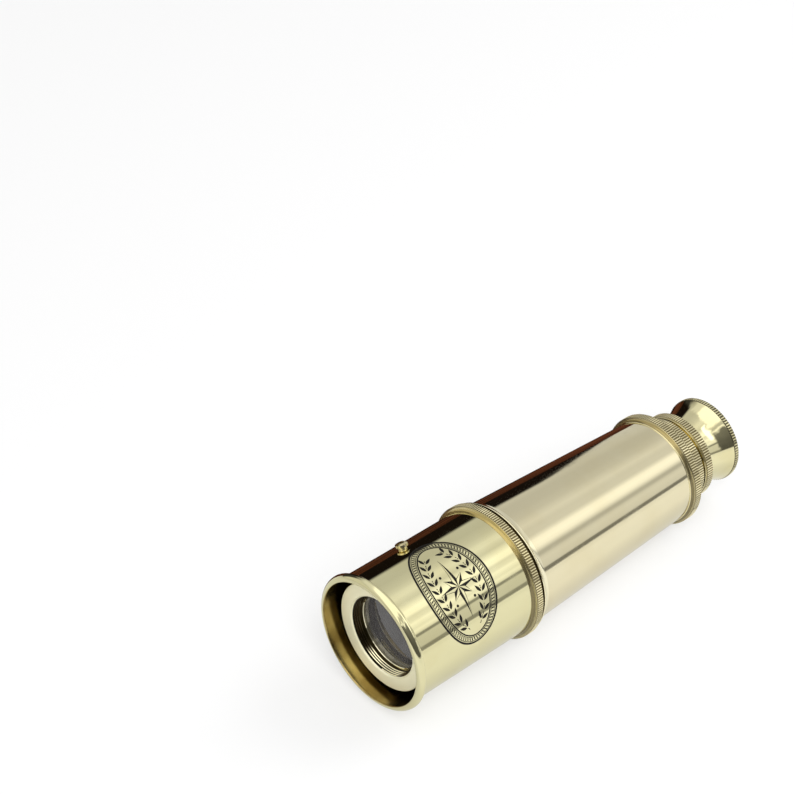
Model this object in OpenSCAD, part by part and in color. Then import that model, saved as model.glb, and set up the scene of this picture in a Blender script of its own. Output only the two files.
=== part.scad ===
// Hand-held brass spyglass with three draws, pushed closed and lying on its side.
// The optical axis runs along X: the objective is towards -X and the eyecup towards +X.
// The origin lies under the middle of the closed instrument, at the height of its lowest point.
// Stations along the axis are measured from the front of the sunshade's rolled lip.

/* [Sunshade] */
// Outside diameter of the sunshade tube
shade_d = 39.4; // [38.8:0.1:40]
// Wall of the sunshade tube
shade_wall = 0.6; // [0.4:0.1:0.9]
// Length of the sunshade from its lip to the rear of its collar
shade_len = 47.3; // [43:0.1:60]
// Height of the rolled lip above the tube
lip_h = 1.4; // [1.1:0.05:1.8]
// Width of the flat edge between the lip's round front and its bore
lip_edge_w = 0.2; // [0.1:0.05:0.4]
// Radius of the lip's rounded back, which a hollow flare joins to the tube
lip_back_r = 0.5; // [0.3:0.05:0.8]
// Height of the sunshade collar's knurl above the tube
shade_collar_h = 1.5; // [1.4:0.05:2.3]
// Width of the sunshade collar's knurled band
shade_knurl_w = 2.55; // [1.5:0.05:4]
// Radius of the hollow in front of the sunshade collar's knurl
shade_cove_r = 1; // [0.5:0.1:1.1]
// Length of the bush that guides the sunshade on the objective tube
shade_bush_len = 9.5; // [7:0.5:14]
// Travel of the sunshade, which its stop screw ends
shade_travel = 12; // [8:0.5:20]

/* [Stop screw] */
// Angle of the stop screw behind the top of the sunshade
screw_angle = 27; // [0:1:60]
// Diameter of the stop screw's thread
screw_d = 2; // [1.6:0.1:2.4]
// Diameter of the stop screw's head
screw_head_d = 3.7; // [3:0.1:4.4]
// Height of the stop screw's head
screw_head_h = 1.2; // [0.9:0.1:1.6]
// Width and depth of the slot in the screw's head
screw_slot = 0.5; // [0.3:0.1:0.7]
// Diameter of the neck between the sunshade and the screw's head
screw_neck_d = 2.6; // [2.5:0.1:2.9]
// Height of that neck
screw_neck_h = 0.8; // [0.3:0.1:1.2]
// Gap between the screw's tip and the objective tube
screw_tip_gap = 0.3; // [0.2:0.05:0.5]

/* [Objective] */
// Depth of the objective cell's face behind the sunshade's lip
cell_recess = 4.6; // [3.5:0.1:6]
// Height of the objective cell's flange above the objective tube
cell_face_h = 0.85; // [0.6:0.05:1.5]
// Thickness of the objective cell's flange
cell_flange_t = 2.4; // [1.6:0.1:3]
// Length of the objective cell behind its flange
cell_shank_len = 8; // [7.5:0.5:11]
// Wall of the objective cell beside its open bore
cell_body_wall = 3; // [2.2:0.1:3.6]
// Length of the bore in front of the retaining ring
cell_thread_len = 3.6; // [2.5:0.1:4]
// Bevel round the mouth of that bore
cell_bevel = 0.5; // [0.3:0.05:0.8]
// Step from that bore down to the bore that holds the lenses
cell_bore_step = 0.1; // [0.05:0.05:0.2]
// Space between the sunshade and the objective tube
tube_space = 3.2; // [2.6:0.1:3.6]
// Wall of the objective tube
objective_tube_wall = 0.5; // [0.4:0.1:0.7]
// Length of the objective's retaining ring
objective_ring_len = 1; // [0.8:0.1:1.2]
// Thickness of the crown lens at its middle
crown_t = 3.2; // [2.8:0.1:3.4]
// Thickness of the flint lens at its middle
flint_t = 1.4; // [1:0.1:1.6]
// Radius of the crown lens's front surface
crown_front_r = 120; // [100:5:160]
// Radius of the surface where the crown lens meets the flint lens
crown_rear_r = 90; // [80:5:120]
// Width of the edge by which rings and shoulders hold each lens
lens_hold = 0.8; // [0.5:0.1:1]

/* [Barrel] */
// Step from the sunshade's radius down to the barrel's at its front
barrel_step = 0.4; // [0.1:0.05:0.8]
// Outside diameter of the barrel at its rear
barrel_rear_d = 33.3; // [33:0.1:33.8]
// Wall of the barrel
barrel_wall = 0.8; // [0.6:0.1:0.9]
// Length of the barrel between its two rings
barrel_len = 62.95; // [60:0.05:80]
// Gap between the sunshade's collar and the front ring, partly filled by the sunshade's bush
front_gap = 0.95; // [0.6:0.05:1.5]
// Height of the front ring above the barrel
front_ring_h = 1.35; // [1:0.05:1.8]
// Length of the front ring that shows
front_ring_len = 2.8; // [2.4:0.1:5]
// Width of the front ring's edge in front of its hollow flare
front_ring_edge_w = 0.3; // [0.25:0.05:1]
// Length of the front ring's spigot inside the barrel
front_spigot_len = 6; // [4:0.5:10]
// Wall of the front ring's spigot
front_spigot_wall = 1.2; // [0.9:0.1:1.6]
// Height of the rear collar's knurl above the barrel
rear_collar_h = 1.3; // [1.1:0.05:1.6]
// Length of the rear collar
rear_collar_len = 3.95; // [3.85:0.05:6]
// Width of the rear collar's knurled band
rear_knurl_w = 2.8; // [1.5:0.05:2.9]
// Thickness of the rear collar's front edge over the barrel
rear_edge_t = 0.2; // [0.1:0.05:0.3]
// Depth of the step that seats the rear collar on the barrel
rear_step = 0.3; // [0.2:0.05:0.35]
// Wall between the two lands of the draw bush
bush_wall = 0.9; // [0.7:0.1:1.2]
// Length of the lands of the draw bush and of the sunshade bush
bush_land = 2.5; // [1.5:0.25:3]

/* [Draws] */
// Outside diameter of the first and widest draw tube
first_draw_d = 26.6; // [26.3:0.1:26.8]
// Wall of the draw tubes
draw_wall = 0.45; // [0.4:0.05:0.5]
// Wall of the lining that guides one draw tube inside the next
lining_wall = 0.6; // [0.55:0.05:0.65]
// Length of the guide at the mouth of each tube
guide_len = 15; // [10:0.5:17]
// Length of the stop ring on each draw tube's front end
stop_ring_len = 3; // [2:0.25:4]
// Height of the first draw's stop ring above its tube
first_stop_h = 1.3; // [0.9:0.1:1.5]
// Travel of each draw
draw_travel = 74.5; // [50:0.5:76]
// Height of the two draw collars' knurl above the first draw
draw_collar_h = 0.55; // [0.5:0.05:1.2]
// Length of the first draw's collar
first_collar_len = 5.75; // [4:0.05:8]
// Length of the second draw's collar
second_collar_len = 3.3; // [2.4:0.05:5]
// Width of the smooth bead in front of the second draw's knurl
collar_bead_w = 0.45; // [0.4:0.05:0.8]
// Gap that the second draw's collar leaves behind the first draw's
second_gap = 0.7; // [0.2:0.05:1]
// Thickness of the end wall of the rear collar and of the draw collars
web_t = 1.2; // [0.9:0.1:1.4]

/* [Eyecup] */
// Length of the eyecup behind the second draw's collar
eyecup_len = 11.8; // [11.4:0.05:15]
// Height of the eyecup's neck above the third draw
eyecup_neck_h = 0.35; // [0.2:0.05:0.9]
// Length of the eyecup's neck
eyecup_neck_len = 0.75; // [0.5:0.05:2]
// Height of the eyecup's rim above its neck
eyecup_rim_h = 2.2; // [1.6:0.1:3]
// Width of the eyecup's rim band
eyecup_rim_w = 1.7; // [1.2:0.1:2.5]
// Thickness of the eyecup's wall at its rim
eyecup_lip_t = 0.9; // [0.7:0.1:1.4]
// Depth of the eyecup's bowl
bowl_depth = 8.4; // [7.5:0.1:8.8]
// Thickness of the wall round the eye hole
eye_wall_t = 2; // [1.5:0.1:2.4]
// Diameter of the eye hole
eye_hole_d = 9; // [7:0.5:10]
// Length of the eyecup's shank inside the third draw tube
shank_len = 7; // [5:0.5:9]
// Wall of the eyecup's shank
shank_wall = 1.05; // [0.8:0.05:1.2]

/* [Lens tubes] */
// Wall of the lens tubes beside their lenses
cell_wall = 0.75; // [0.6:0.05:0.9]
// Length of the eyepiece tube
eyepiece_len = 30; // [26:0.5:34]
// Length of the erector tube
erector_len = 31; // [26:0.5:36]
// Distance of the erector tube from the front end of the third draw
erector_inset = 1; // [0.5:0.1:2]
// Diameter of the eye lens
eye_lens_d = 13.4; // [12:0.1:14]
// Depth of the pocket that holds each small lens
pocket_len = 4; // [3.8:0.1:5]
// Thickness of the shoulder in front of the eye lens
eye_shoulder_t = 1; // [0.8:0.1:1.5]
// Thickness of each small lens at its middle
small_lens_t = 2.6; // [2.2:0.1:2.7]
// Radius of each small lens's curved surface
small_lens_r = 40; // [34:1:60]
// Length of the small retaining rings
small_ring_len = 1; // [0.8:0.1:1.1]
// Thickness of the stop discs
stop_disc_t = 0.5; // [0.4:0.1:1]
// Diameter of the hole in the erector's stop disc
erector_stop_d = 5; // [3:0.5:7]
// Diameter of the hole in the eyepiece's stop disc
field_stop_d = 11; // [8:0.5:13]

/* [Knurling and clearances] */
// Pitch of the straight knurling
knurl_pitch = 0.8; // [0.7:0.05:1.2]
// Depth of the knurling's grooves
knurl_h = 0.18; // [0.1:0.02:0.24]
// Bevel on the edges of the knurled bands
knurl_bevel = 0.3; // [0.25:0.05:0.4]
// Bevel on the edges of plain rings
edge_bevel = 0.2; // [0.1:0.05:0.3]
// Radial clearance between tubes that slide
slide_clear = 0.05; // [0.03:0.01:0.08]
// Radial clearance of screwed and soldered seats
seat_clear = 0.02; // [0.01:0.01:0.04]
// Gap between a moving collar and the face that it closes on
face_gap = 0.25; // [0.2:0.05:0.5]
// Play left before a stop at the end of its travel
stop_play = 0.5; // [0.3:0.1:0.8]

/* [Hidden] */
$fn = 120;

// Radii of the sunshade and of its fittings
shade_r = shade_d / 2;
shade_bore_r = shade_r - shade_wall;
lip_r = shade_r + lip_h;
lip_front_r = lip_r - shade_bore_r - lip_edge_w;
shade_collar_r = shade_r + shade_collar_h;

// Radii of the objective and of its tube
objective_tube_r = shade_bore_r - tube_space;
objective_bore_r = objective_tube_r - objective_tube_wall;
cell_face_r = objective_tube_r + cell_face_h;
cell_shank_r = objective_bore_r - seat_clear;
cell_bore_r = cell_shank_r - cell_body_wall;
cell_seat_r = cell_bore_r - cell_bore_step;
cell_hold_r = cell_seat_r - lens_hold;
objective_lens_r = cell_seat_r - seat_clear;

// Radii of the barrel and of its rings
barrel_front_r = shade_r - barrel_step;
barrel_rear_r = barrel_rear_d / 2;
barrel_taper = (barrel_front_r - barrel_rear_r) / barrel_len;
front_ring_r = barrel_front_r + front_ring_h;
rear_collar_r = barrel_rear_r + rear_collar_h;

// Radii of the draw tubes, each one step smaller than the last
draw_step = draw_wall + lining_wall + slide_clear;
first_draw_r = first_draw_d / 2;
second_draw_r = first_draw_r - draw_step;
third_draw_r = second_draw_r - draw_step;
draw_collar_r = first_draw_r + draw_collar_h;

// Radii of the eyecup and of the lens tubes inside the third draw
eyecup_neck_r = third_draw_r + eyecup_neck_h;
eyecup_rim_r = eyecup_neck_r + eyecup_rim_h;
bowl_rim_r = eyecup_rim_r - eyecup_lip_t;
eye_hole_r = eye_hole_d / 2;
erector_r = third_draw_r - draw_wall - seat_clear;
erector_pocket_r = erector_r - cell_wall;
erector_bore_r = erector_pocket_r - lens_hold;
shank_r = erector_r;
shank_bore_r = shank_r - shank_wall;
eyepiece_r = shank_bore_r - seat_clear;
eyepiece_pocket_r = eyepiece_r - cell_wall;
eyepiece_bore_r = eyepiece_pocket_r - lens_hold;
eye_lens_r = eye_lens_d / 2;
eye_pocket_r = eye_lens_r + seat_clear;
eye_hold_r = eye_lens_r - lens_hold;

// Stations of the objective, the front ring and the barrel
cell_shank_x = cell_recess + cell_flange_t;
cell_end_x = cell_shank_x + cell_shank_len;
objective_ring_x = cell_recess + cell_thread_len;
objective_ring_end_x = objective_ring_x + objective_ring_len;
crown_x = objective_ring_end_x - sag(cell_hold_r, crown_front_r);
crown_end_x = crown_x + crown_t;
flint_end_x = crown_end_x + seat_clear + flint_t;
front_ring_x = shade_len + front_gap;
barrel_x = front_ring_x + front_ring_len;
front_spigot_end_x = barrel_x + front_spigot_len;
rear_collar_x = barrel_x + barrel_len;
rear_collar_end_x = rear_collar_x + rear_collar_len;
rear_web_x = rear_collar_end_x - web_t;

// Stations of the draw collars, the eyecup and the whole instrument
first_collar_x = rear_collar_end_x + face_gap;
first_collar_end_x = first_collar_x + first_collar_len;
first_web_x = first_collar_end_x - web_t;
second_collar_x = first_collar_end_x + second_gap;
second_collar_end_x = second_collar_x + second_collar_len;
second_web_x = second_collar_end_x - web_t;
eyecup_x = second_collar_end_x + face_gap;
total_len = eyecup_x + eyecup_len;

// Stations of the draw tubes' front ends: a stop ring meets its guide at full travel
first_draw_x = rear_web_x - guide_len - stop_play - draw_travel - stop_ring_len;
second_draw_x = first_web_x - guide_len - stop_play - draw_travel - stop_ring_len;
third_draw_x = second_web_x - guide_len - stop_play - draw_travel - stop_ring_len;

// Stations of the stop screw, the eyecup's bowl, the eyepiece and the erector
screw_x = cell_shank_x + shade_travel + stop_play + screw_d / 2;
bowl_floor_x = total_len - bowl_depth;
eye_wall_x = bowl_floor_x - eye_wall_t;
eyepiece_x = eyecup_x - eyepiece_len;
field_seat_x = eyepiece_x + pocket_len;
eye_seat_x = eyecup_x - pocket_len;
erector_x = third_draw_x + erector_inset;
erector_end_x = erector_x + erector_len;
erector_front_seat_x = erector_x + pocket_len;
erector_rear_seat_x = erector_end_x - pocket_len;

// Height of the optical axis: the sunshade collar is the widest ring
axis_z = shade_collar_r;

// Margin by which a cutting shape passes the face that it cuts
cut = 0.1;

// Colours
brass = [0.88, 0.84, 0.66];
warm_brass = [0.80, 0.71, 0.45];
pale_brass = [0.90, 0.85, 0.74];
dark_brass = [0.45, 0.38, 0.22];
glass = [0.45, 0.46, 0.50, 0.6];

// Depth of a lens surface's curve at a given radius
function sag(r, surface_r) = surface_r - sqrt(surface_r * surface_r - r * r);

// Outer radius of the barrel at a station
function barrel_r(x) = barrel_front_r - barrel_taper * (x - barrel_x);

// Outer radius of a ring that seats inside the barrel at a station
function in_barrel_r(x) = barrel_r(x) - barrel_wall - seat_clear;

// Turns a shape drawn along Z, from the lip's plane, into its place along X
module on_axis() {
    translate([-total_len / 2, 0, axis_z])
        rotate([0, 90, 0])
            children();
}

// Spins a profile, drawn as radius and station, about the optical axis
module turned() {
    on_axis()
        rotate_extrude()
            children();
}

// Part of a profile between two radii and two stations
module band(r0, r1, x0, x1) {
    translate([r0, x0])
        square([r1 - r0, x1 - x0]);
}

// Part of a profile whose two outer corners are bevelled
module bevelled_band(r0, r1, x0, x1, bevel) {
    polygon([
        [r0, x0], [r1 - bevel, x0], [r1, x0 + bevel],
        [r1, x1 - bevel], [r1 - bevel, x1], [r0, x1]
    ]);
}

// Part of a profile that hollows out from a tube to a taller face
// rise is 1 where the face lies behind the foot and -1 where it lies in front
module cove(foot_r, foot_x, size, rise) {
    difference() {
        translate([foot_r, min(foot_x, foot_x + rise * size)])
            square(size);
        translate([foot_r + size, foot_x])
            circle(size);
    }
}

// Plain tube or ring between two radii and two stations
module tube(r0, r1, x0, x1) {
    turned()
        band(r0, r1, x0, x1);
}

// Outline of a straight knurl, with one V groove for each tooth
module knurl_outline(tip_r) {
    teeth = 4 * round(PI * tip_r / (2 * knurl_pitch));
    polygon([
        for (i = [0 : 2 * teeth - 1])
            let (a = 180 * i / teeth, r = tip_r - knurl_h * (i % 2))
                [r * cos(a), r * sin(a)]
    ]);
}

// Turned ring, given as a profile between two stations, with a knurled outside
module knurled(tip_r, x0, x1) {
    on_axis()
        intersection() {
            translate([0, 0, x0])
                linear_extrude(x1 - x0)
                    knurl_outline(tip_r);
            rotate_extrude()
                children();
        }
}

// Profile of a knurled band: it stands past the teeth, so that only its bevels cut them
module knurl_band(r0, tip_r, x0, x1) {
    bevelled_band(r0, tip_r + cut, x0, x1, knurl_bevel + cut);
}

// Points a shape drawn along Z outwards from the axis, where the stop screw stands
module at_screw() {
    on_axis()
        translate([0, 0, screw_x])
            rotate([0, 0, -screw_angle])
                rotate([0, -90, 0])
                    children();
}

// Small lens with one flat side: turn is 1 with the flat side behind, -1 in front
module small_lens(lens_r, flat_x, turn) {
    vertex_x = flat_x - turn * small_lens_t;
    on_axis()
        intersection() {
            translate([0, 0, min(flat_x, vertex_x)])
                cylinder(r = lens_r, h = small_lens_t);
            translate([0, 0, vertex_x + turn * small_lens_r])
                sphere(small_lens_r);
        }
}

// Flat side of a small lens whose curved side rests on an edge at seat_x
function flat_side(seat_x, hold_r, turn) =
    seat_x + turn * (small_lens_t - sag(hold_r, small_lens_r));

// Profile of the rolled lip: round in front and at its back, with a flare down to the tube
module lip_profile() {
    back_c = lip_r - lip_back_r;
    flare_r = back_c - shade_r;
    flare_x = lip_front_r + lip_back_r + flare_r;
    band(shade_bore_r, lip_r - lip_front_r, 0, lip_front_r);
    intersection() {
        band(shade_bore_r, lip_r, 0, lip_front_r);
        translate([lip_r - lip_front_r, lip_front_r])
            circle(lip_front_r);
    }
    translate([back_c, lip_front_r])
        circle(lip_back_r);
    difference() {
        band(shade_bore_r, back_c, lip_front_r, flare_x);
        translate([back_c, flare_x])
            circle(flare_r);
    }
}

// Sunshade: a thin tube whose front edge flares into a rolled lip
module sunshade_tube() {
    color(brass)
        difference() {
            turned() {
                band(shade_bore_r, shade_r, lip_front_r, shade_len);
                lip_profile();
            }
            at_screw()
                translate([0, 0, shade_bore_r - 1])
                    cylinder(r = screw_d / 2 + seat_clear, h = shade_wall + 2);
        }
}

// Collar round the rear of the sunshade, with a hollow in front of its knurl
module sunshade_collar() {
    knurl_x = shade_len - shade_knurl_w;
    foot_r = shade_r + seat_clear;
    foot_x = knurl_x - shade_cove_r;
    color(warm_brass)
        knurled(shade_collar_r, foot_x, shade_len) {
            knurl_band(foot_r, shade_collar_r, knurl_x, shade_len);
            cove(foot_r, foot_x, shade_cove_r, 1);
        }
}

// Bush that guides the sunshade: two lands run on the objective tube
// It stands out of the sunshade's rear and closes on the front ring
module sunshade_bush() {
    bush_end_x = front_ring_x - face_gap;
    bush_x = bush_end_x - shade_bush_len;
    outer_r = shade_bore_r - seat_clear;
    bore_r = objective_tube_r + slide_clear;
    color(brass)
        turned()
            difference() {
                band(bore_r, outer_r, bush_x, bush_end_x);
                band(0, outer_r - bush_wall, bush_x + bush_land, bush_end_x - bush_land);
            }
}

// Stop screw: its tip rides in the space round the objective tube
module sunshade_stop_screw() {
    tip_r = objective_tube_r + screw_tip_gap;
    head_x = shade_r + screw_neck_h;
    dome_r = screw_head_d;
    color(pale_brass)
        at_screw()
            difference() {
                union() {
                    translate([0, 0, tip_r])
                        cylinder(d = screw_d, h = head_x - tip_r + cut);
                    translate([0, 0, shade_r])
                        cylinder(d = screw_neck_d, h = screw_neck_h + cut);
                    intersection() {
                        translate([0, 0, head_x])
                            cylinder(d = screw_head_d, h = screw_head_h);
                        translate([0, 0, head_x + screw_head_h - dome_r])
                            sphere(dome_r);
                    }
                }
                translate([-screw_head_d, -screw_slot / 2, head_x + screw_head_h - screw_slot])
                    cube([2 * screw_head_d, screw_slot, 2 * screw_slot]);
            }
}

// Tube that carries the objective cell in front of the barrel
module objective_tube() {
    color(brass)
        tube(objective_bore_r, objective_tube_r, cell_shank_x, front_spigot_end_x);
}

// Objective cell: the pale ring that shows inside the sunshade
module objective_cell() {
    color(pale_brass)
        turned()
            difference() {
                union() {
                    bevelled_band(0, cell_face_r, cell_recess, cell_shank_x, edge_bevel);
                    band(0, cell_shank_r, cell_recess + edge_bevel, cell_end_x);
                }
                band(-1, cell_bore_r, cell_recess - 1, objective_ring_x);
                band(-1, cell_seat_r, cell_recess - 1, flint_end_x);
                band(-1, cell_hold_r, cell_recess - 1, cell_end_x + 1);
                polygon([
                    [0, cell_recess - cut],
                    [cell_bore_r + cell_bevel + cut, cell_recess - cut],
                    [cell_bore_r, cell_recess + cell_bevel],
                    [0, cell_recess + cell_bevel]
                ]);
            }
}

// Threaded ring that holds the objective lenses in their cell
module objective_retaining_ring() {
    color(pale_brass)
        tube(cell_hold_r, objective_lens_r, objective_ring_x, objective_ring_end_x);
}

// Crown lens: both sides bulge
module objective_crown_lens() {
    color(glass)
        on_axis()
            intersection() {
                translate([0, 0, crown_x])
                    cylinder(r = objective_lens_r, h = crown_t);
                translate([0, 0, crown_x + crown_front_r])
                    sphere(crown_front_r, $fn = 360);
                translate([0, 0, crown_end_x - crown_rear_r])
                    sphere(crown_rear_r, $fn = 360);
            }
}

// Flint lens: hollow in front, flat behind
module objective_flint_lens() {
    edge_x = crown_end_x + seat_clear - sag(objective_lens_r, crown_rear_r);
    color(glass)
        on_axis()
            difference() {
                translate([0, 0, edge_x])
                    cylinder(r = objective_lens_r, h = flint_end_x - edge_x);
                translate([0, 0, crown_end_x + seat_clear - crown_rear_r])
                    sphere(crown_rear_r, $fn = 360);
            }
}

// Barrel: a tapered tube with a step at its rear for the collar
module barrel_tube() {
    color(brass)
        turned()
            polygon([
                [barrel_front_r - barrel_wall, barrel_x],
                [barrel_front_r, barrel_x],
                [barrel_rear_r, rear_collar_x],
                [barrel_rear_r - rear_step, rear_collar_x],
                [barrel_rear_r - rear_step, rear_web_x],
                [barrel_r(rear_web_x) - barrel_wall, rear_web_x]
            ]);
}

// Front ring: it closes the barrel and carries the objective tube
module barrel_front_ring() {
    flare_len = front_ring_len - front_ring_edge_w;
    flare_r = (flare_len * flare_len + front_ring_h * front_ring_h) / (2 * front_ring_h);
    bore_r = objective_tube_r + seat_clear;
    spigot_r = max(bore_r, in_barrel_r(barrel_x) - front_spigot_wall);
    color(pale_brass)
        turned() {
            difference() {
                polygon([
                    [bore_r, front_ring_x],
                    [front_ring_r - edge_bevel, front_ring_x],
                    [front_ring_r, front_ring_x + edge_bevel],
                    [front_ring_r, barrel_x],
                    [bore_r, barrel_x]
                ]);
                translate([barrel_front_r + flare_r, barrel_x])
                    circle(flare_r, $fn = 360);
            }
            polygon([
                [spigot_r, barrel_x - cut],
                [in_barrel_r(barrel_x), barrel_x - cut],
                [in_barrel_r(barrel_x), barrel_x],
                [in_barrel_r(front_spigot_end_x), front_spigot_end_x],
                [spigot_r, front_spigot_end_x]
            ]);
        }
}

// Rear collar: a hollow flare, a knurled band and an end wall that the first draw passes
module barrel_rear_collar() {
    knurl_x = rear_collar_end_x - rear_knurl_w;
    edge_r = barrel_rear_r + rear_edge_t;
    cove_r = rear_collar_h - knurl_bevel - rear_edge_t;
    seat_r = barrel_rear_r - rear_step + seat_clear;
    color(warm_brass)
        knurled(rear_collar_r, rear_collar_x, rear_collar_end_x) {
            knurl_band(seat_r, rear_collar_r, knurl_x, rear_collar_end_x);
            cove(edge_r, knurl_x - cove_r, cove_r, 1);
            band(seat_r, edge_r, rear_collar_x, knurl_x + cut);
            band(first_draw_r + slide_clear, seat_r + cut, rear_web_x, rear_collar_end_x);
        }
}

// Bush inside the barrel's rear: its bore guides the first draw
module barrel_draw_bush() {
    bush_x = rear_web_x - guide_len;
    bore_r = first_draw_r + slide_clear;
    color(brass)
        turned()
            difference() {
                polygon([
                    [bore_r, bush_x],
                    [in_barrel_r(bush_x), bush_x],
                    [in_barrel_r(rear_web_x), rear_web_x],
                    [bore_r, rear_web_x]
                ]);
                band(bore_r + bush_wall, barrel_front_r, bush_x + bush_land, rear_web_x - bush_land);
            }
}

// Tube of one draw
module draw_tube(r, x0, x1) {
    color(brass)
        tube(r - draw_wall, r, x0, x1);
}

// Knurled collar on one draw's mouth, with an end wall that the next tube passes
// bead_w is the width of the smooth bead in front of its knurl, or 0 for none
module draw_collar(r, x0, x1, bead_w) {
    bead_r = draw_collar_r - knurl_h - seat_clear;
    color(warm_brass)
        knurled(draw_collar_r, x0, x1) {
            knurl_band(r + seat_clear, draw_collar_r, x0 + bead_w, x1);
            if (bead_w > 0)
                bevelled_band(r + seat_clear, bead_r, x0, x0 + bead_w + cut, bead_w / 3);
            band(r - draw_step + slide_clear, r + seat_clear + cut, x1 - web_t, x1);
        }
}

// Lining inside one draw's mouth, which guides the next tube
module draw_lining(r, x1) {
    color(warm_brass)
        tube(r - draw_step + slide_clear, r - draw_wall - seat_clear, x1 - guide_len, x1);
}

// Ring round one draw's front end, which stops it at the guide ahead of it
module draw_stop_ring(r, outer_r, x0) {
    color(brass)
        tube(r + seat_clear, outer_r, x0, x0 + stop_ring_len);
}

module first_draw_tube() {
    draw_tube(first_draw_r, first_draw_x, first_web_x);
}

module first_draw_collar() {
    draw_collar(first_draw_r, first_collar_x, first_collar_end_x, 0);
}

module first_draw_lining() {
    draw_lining(first_draw_r, first_web_x);
}

module first_draw_stop_ring() {
    draw_stop_ring(first_draw_r, first_draw_r + first_stop_h, first_draw_x);
}

module second_draw_tube() {
    draw_tube(second_draw_r, second_draw_x, second_web_x);
}

module second_draw_collar() {
    draw_collar(second_draw_r, second_collar_x, second_collar_end_x, collar_bead_w);
}

module second_draw_lining() {
    draw_lining(second_draw_r, second_web_x);
}

module second_draw_stop_ring() {
    draw_stop_ring(second_draw_r, first_draw_r - draw_wall - 2 * slide_clear, second_draw_x);
}

module third_draw_tube() {
    draw_tube(third_draw_r, third_draw_x, eyecup_x);
}

module third_draw_stop_ring() {
    draw_stop_ring(third_draw_r, second_draw_r - draw_wall - 2 * slide_clear, third_draw_x);
}

// Eyecup: a flared bell with a round bowl, on a shank that screws into the third draw
module eyecup() {
    flare_x = eyecup_x + eyecup_neck_len;
    rim_x = total_len - eyecup_rim_w;
    flare_h = eyecup_rim_h - edge_bevel;
    flare_len = rim_x - flare_x;
    flare_r = (flare_len * flare_len + flare_h * flare_h) / (2 * flare_h);
    bowl_x = (pow(bowl_rim_r, 2) + pow(total_len, 2) - pow(eye_hole_r, 2) - pow(bowl_floor_x, 2))
        / (2 * (total_len - bowl_floor_x));
    bowl_r = sqrt(pow(bowl_rim_r, 2) + pow(bowl_x - total_len, 2));
    color(brass)
        turned()
            difference() {
                union() {
                    band(0, shank_r, eyecup_x - shank_len, eyecup_x + cut);
                    band(0, eyecup_neck_r, eyecup_x, flare_x + cut);
                    difference() {
                        band(0, eyecup_rim_r - edge_bevel, flare_x, rim_x + cut);
                        translate([eyecup_neck_r + flare_r, flare_x])
                            circle(flare_r, $fn = 360);
                    }
                    bevelled_band(0, eyecup_rim_r, rim_x, total_len, edge_bevel);
                }
                band(-1, shank_bore_r, eyecup_x - shank_len - 1, eye_wall_x);
                band(-1, eye_hole_r, eye_wall_x - 1, total_len);
                translate([0, bowl_x])
                    circle(bowl_r, $fn = 360);
                band(-bowl_r - 1, 0, 0, 2 * total_len);
            }
}

// Eyepiece tube: the field lens in front, the smaller eye lens at the rear
module eyepiece_tube() {
    color(dark_brass)
        turned()
            difference() {
                band(0, eyepiece_r, eyepiece_x, eyecup_x);
                band(-1, eyepiece_pocket_r, eyepiece_x - 1, field_seat_x);
                band(-1, eyepiece_bore_r, field_seat_x - 1, eye_seat_x - eye_shoulder_t);
                band(-1, eye_hold_r, field_seat_x, eye_seat_x + 1);
                band(-1, eye_pocket_r, eye_seat_x, eyecup_x + 1);
            }
}

module eyepiece_field_lens() {
    color(glass)
        small_lens(eyepiece_pocket_r - seat_clear, field_seat_x, 1);
}

module eyepiece_field_stop() {
    middle_x = (field_seat_x + eye_seat_x) / 2;
    color(dark_brass)
        tube(field_stop_d / 2, eyepiece_bore_r - seat_clear, middle_x, middle_x + stop_disc_t);
}

module eyepiece_eye_lens() {
    color(glass)
        small_lens(eye_lens_r, flat_side(eye_seat_x, eye_hold_r, 1), 1);
}

// Two threaded rings: one in front of the field lens, one behind the eye lens
module eyepiece_retaining_rings() {
    field_ring_x = field_seat_x - small_lens_t + sag(eyepiece_bore_r, small_lens_r);
    eye_ring_x = flat_side(eye_seat_x, eye_hold_r, 1);
    color(dark_brass) {
        tube(eyepiece_bore_r, eyepiece_pocket_r - seat_clear, field_ring_x - small_ring_len, field_ring_x);
        tube(eye_hold_r, eye_lens_r, eye_ring_x, eye_ring_x + small_ring_len);
    }
}

// Erector tube inside the front of the third draw, with a lens pocket at each end
module erector_tube() {
    color(dark_brass)
        turned()
            difference() {
                band(erector_bore_r, erector_r, erector_x, erector_end_x);
                band(0, erector_pocket_r, erector_x - 1, erector_front_seat_x);
                band(0, erector_pocket_r, erector_rear_seat_x, erector_end_x + 1);
            }
}

module erector_front_lens() {
    color(glass)
        small_lens(erector_pocket_r - seat_clear, flat_side(erector_front_seat_x, erector_bore_r, -1), -1);
}

module erector_rear_lens() {
    color(glass)
        small_lens(erector_pocket_r - seat_clear, flat_side(erector_rear_seat_x, erector_bore_r, 1), 1);
}

module erector_stop_disc() {
    middle_x = (erector_x + erector_end_x) / 2;
    color(dark_brass)
        tube(erector_stop_d / 2, erector_bore_r - seat_clear, middle_x, middle_x + stop_disc_t);
}

// Two threaded rings that hold the erector's lenses against their shoulders
module erector_retaining_rings() {
    front_x = flat_side(erector_front_seat_x, erector_bore_r, -1);
    rear_x = flat_side(erector_rear_seat_x, erector_bore_r, 1);
    color(dark_brass) {
        tube(erector_bore_r, erector_pocket_r - seat_clear, front_x - small_ring_len, front_x);
        tube(erector_bore_r, erector_pocket_r - seat_clear, rear_x, rear_x + small_ring_len);
    }
}

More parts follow.
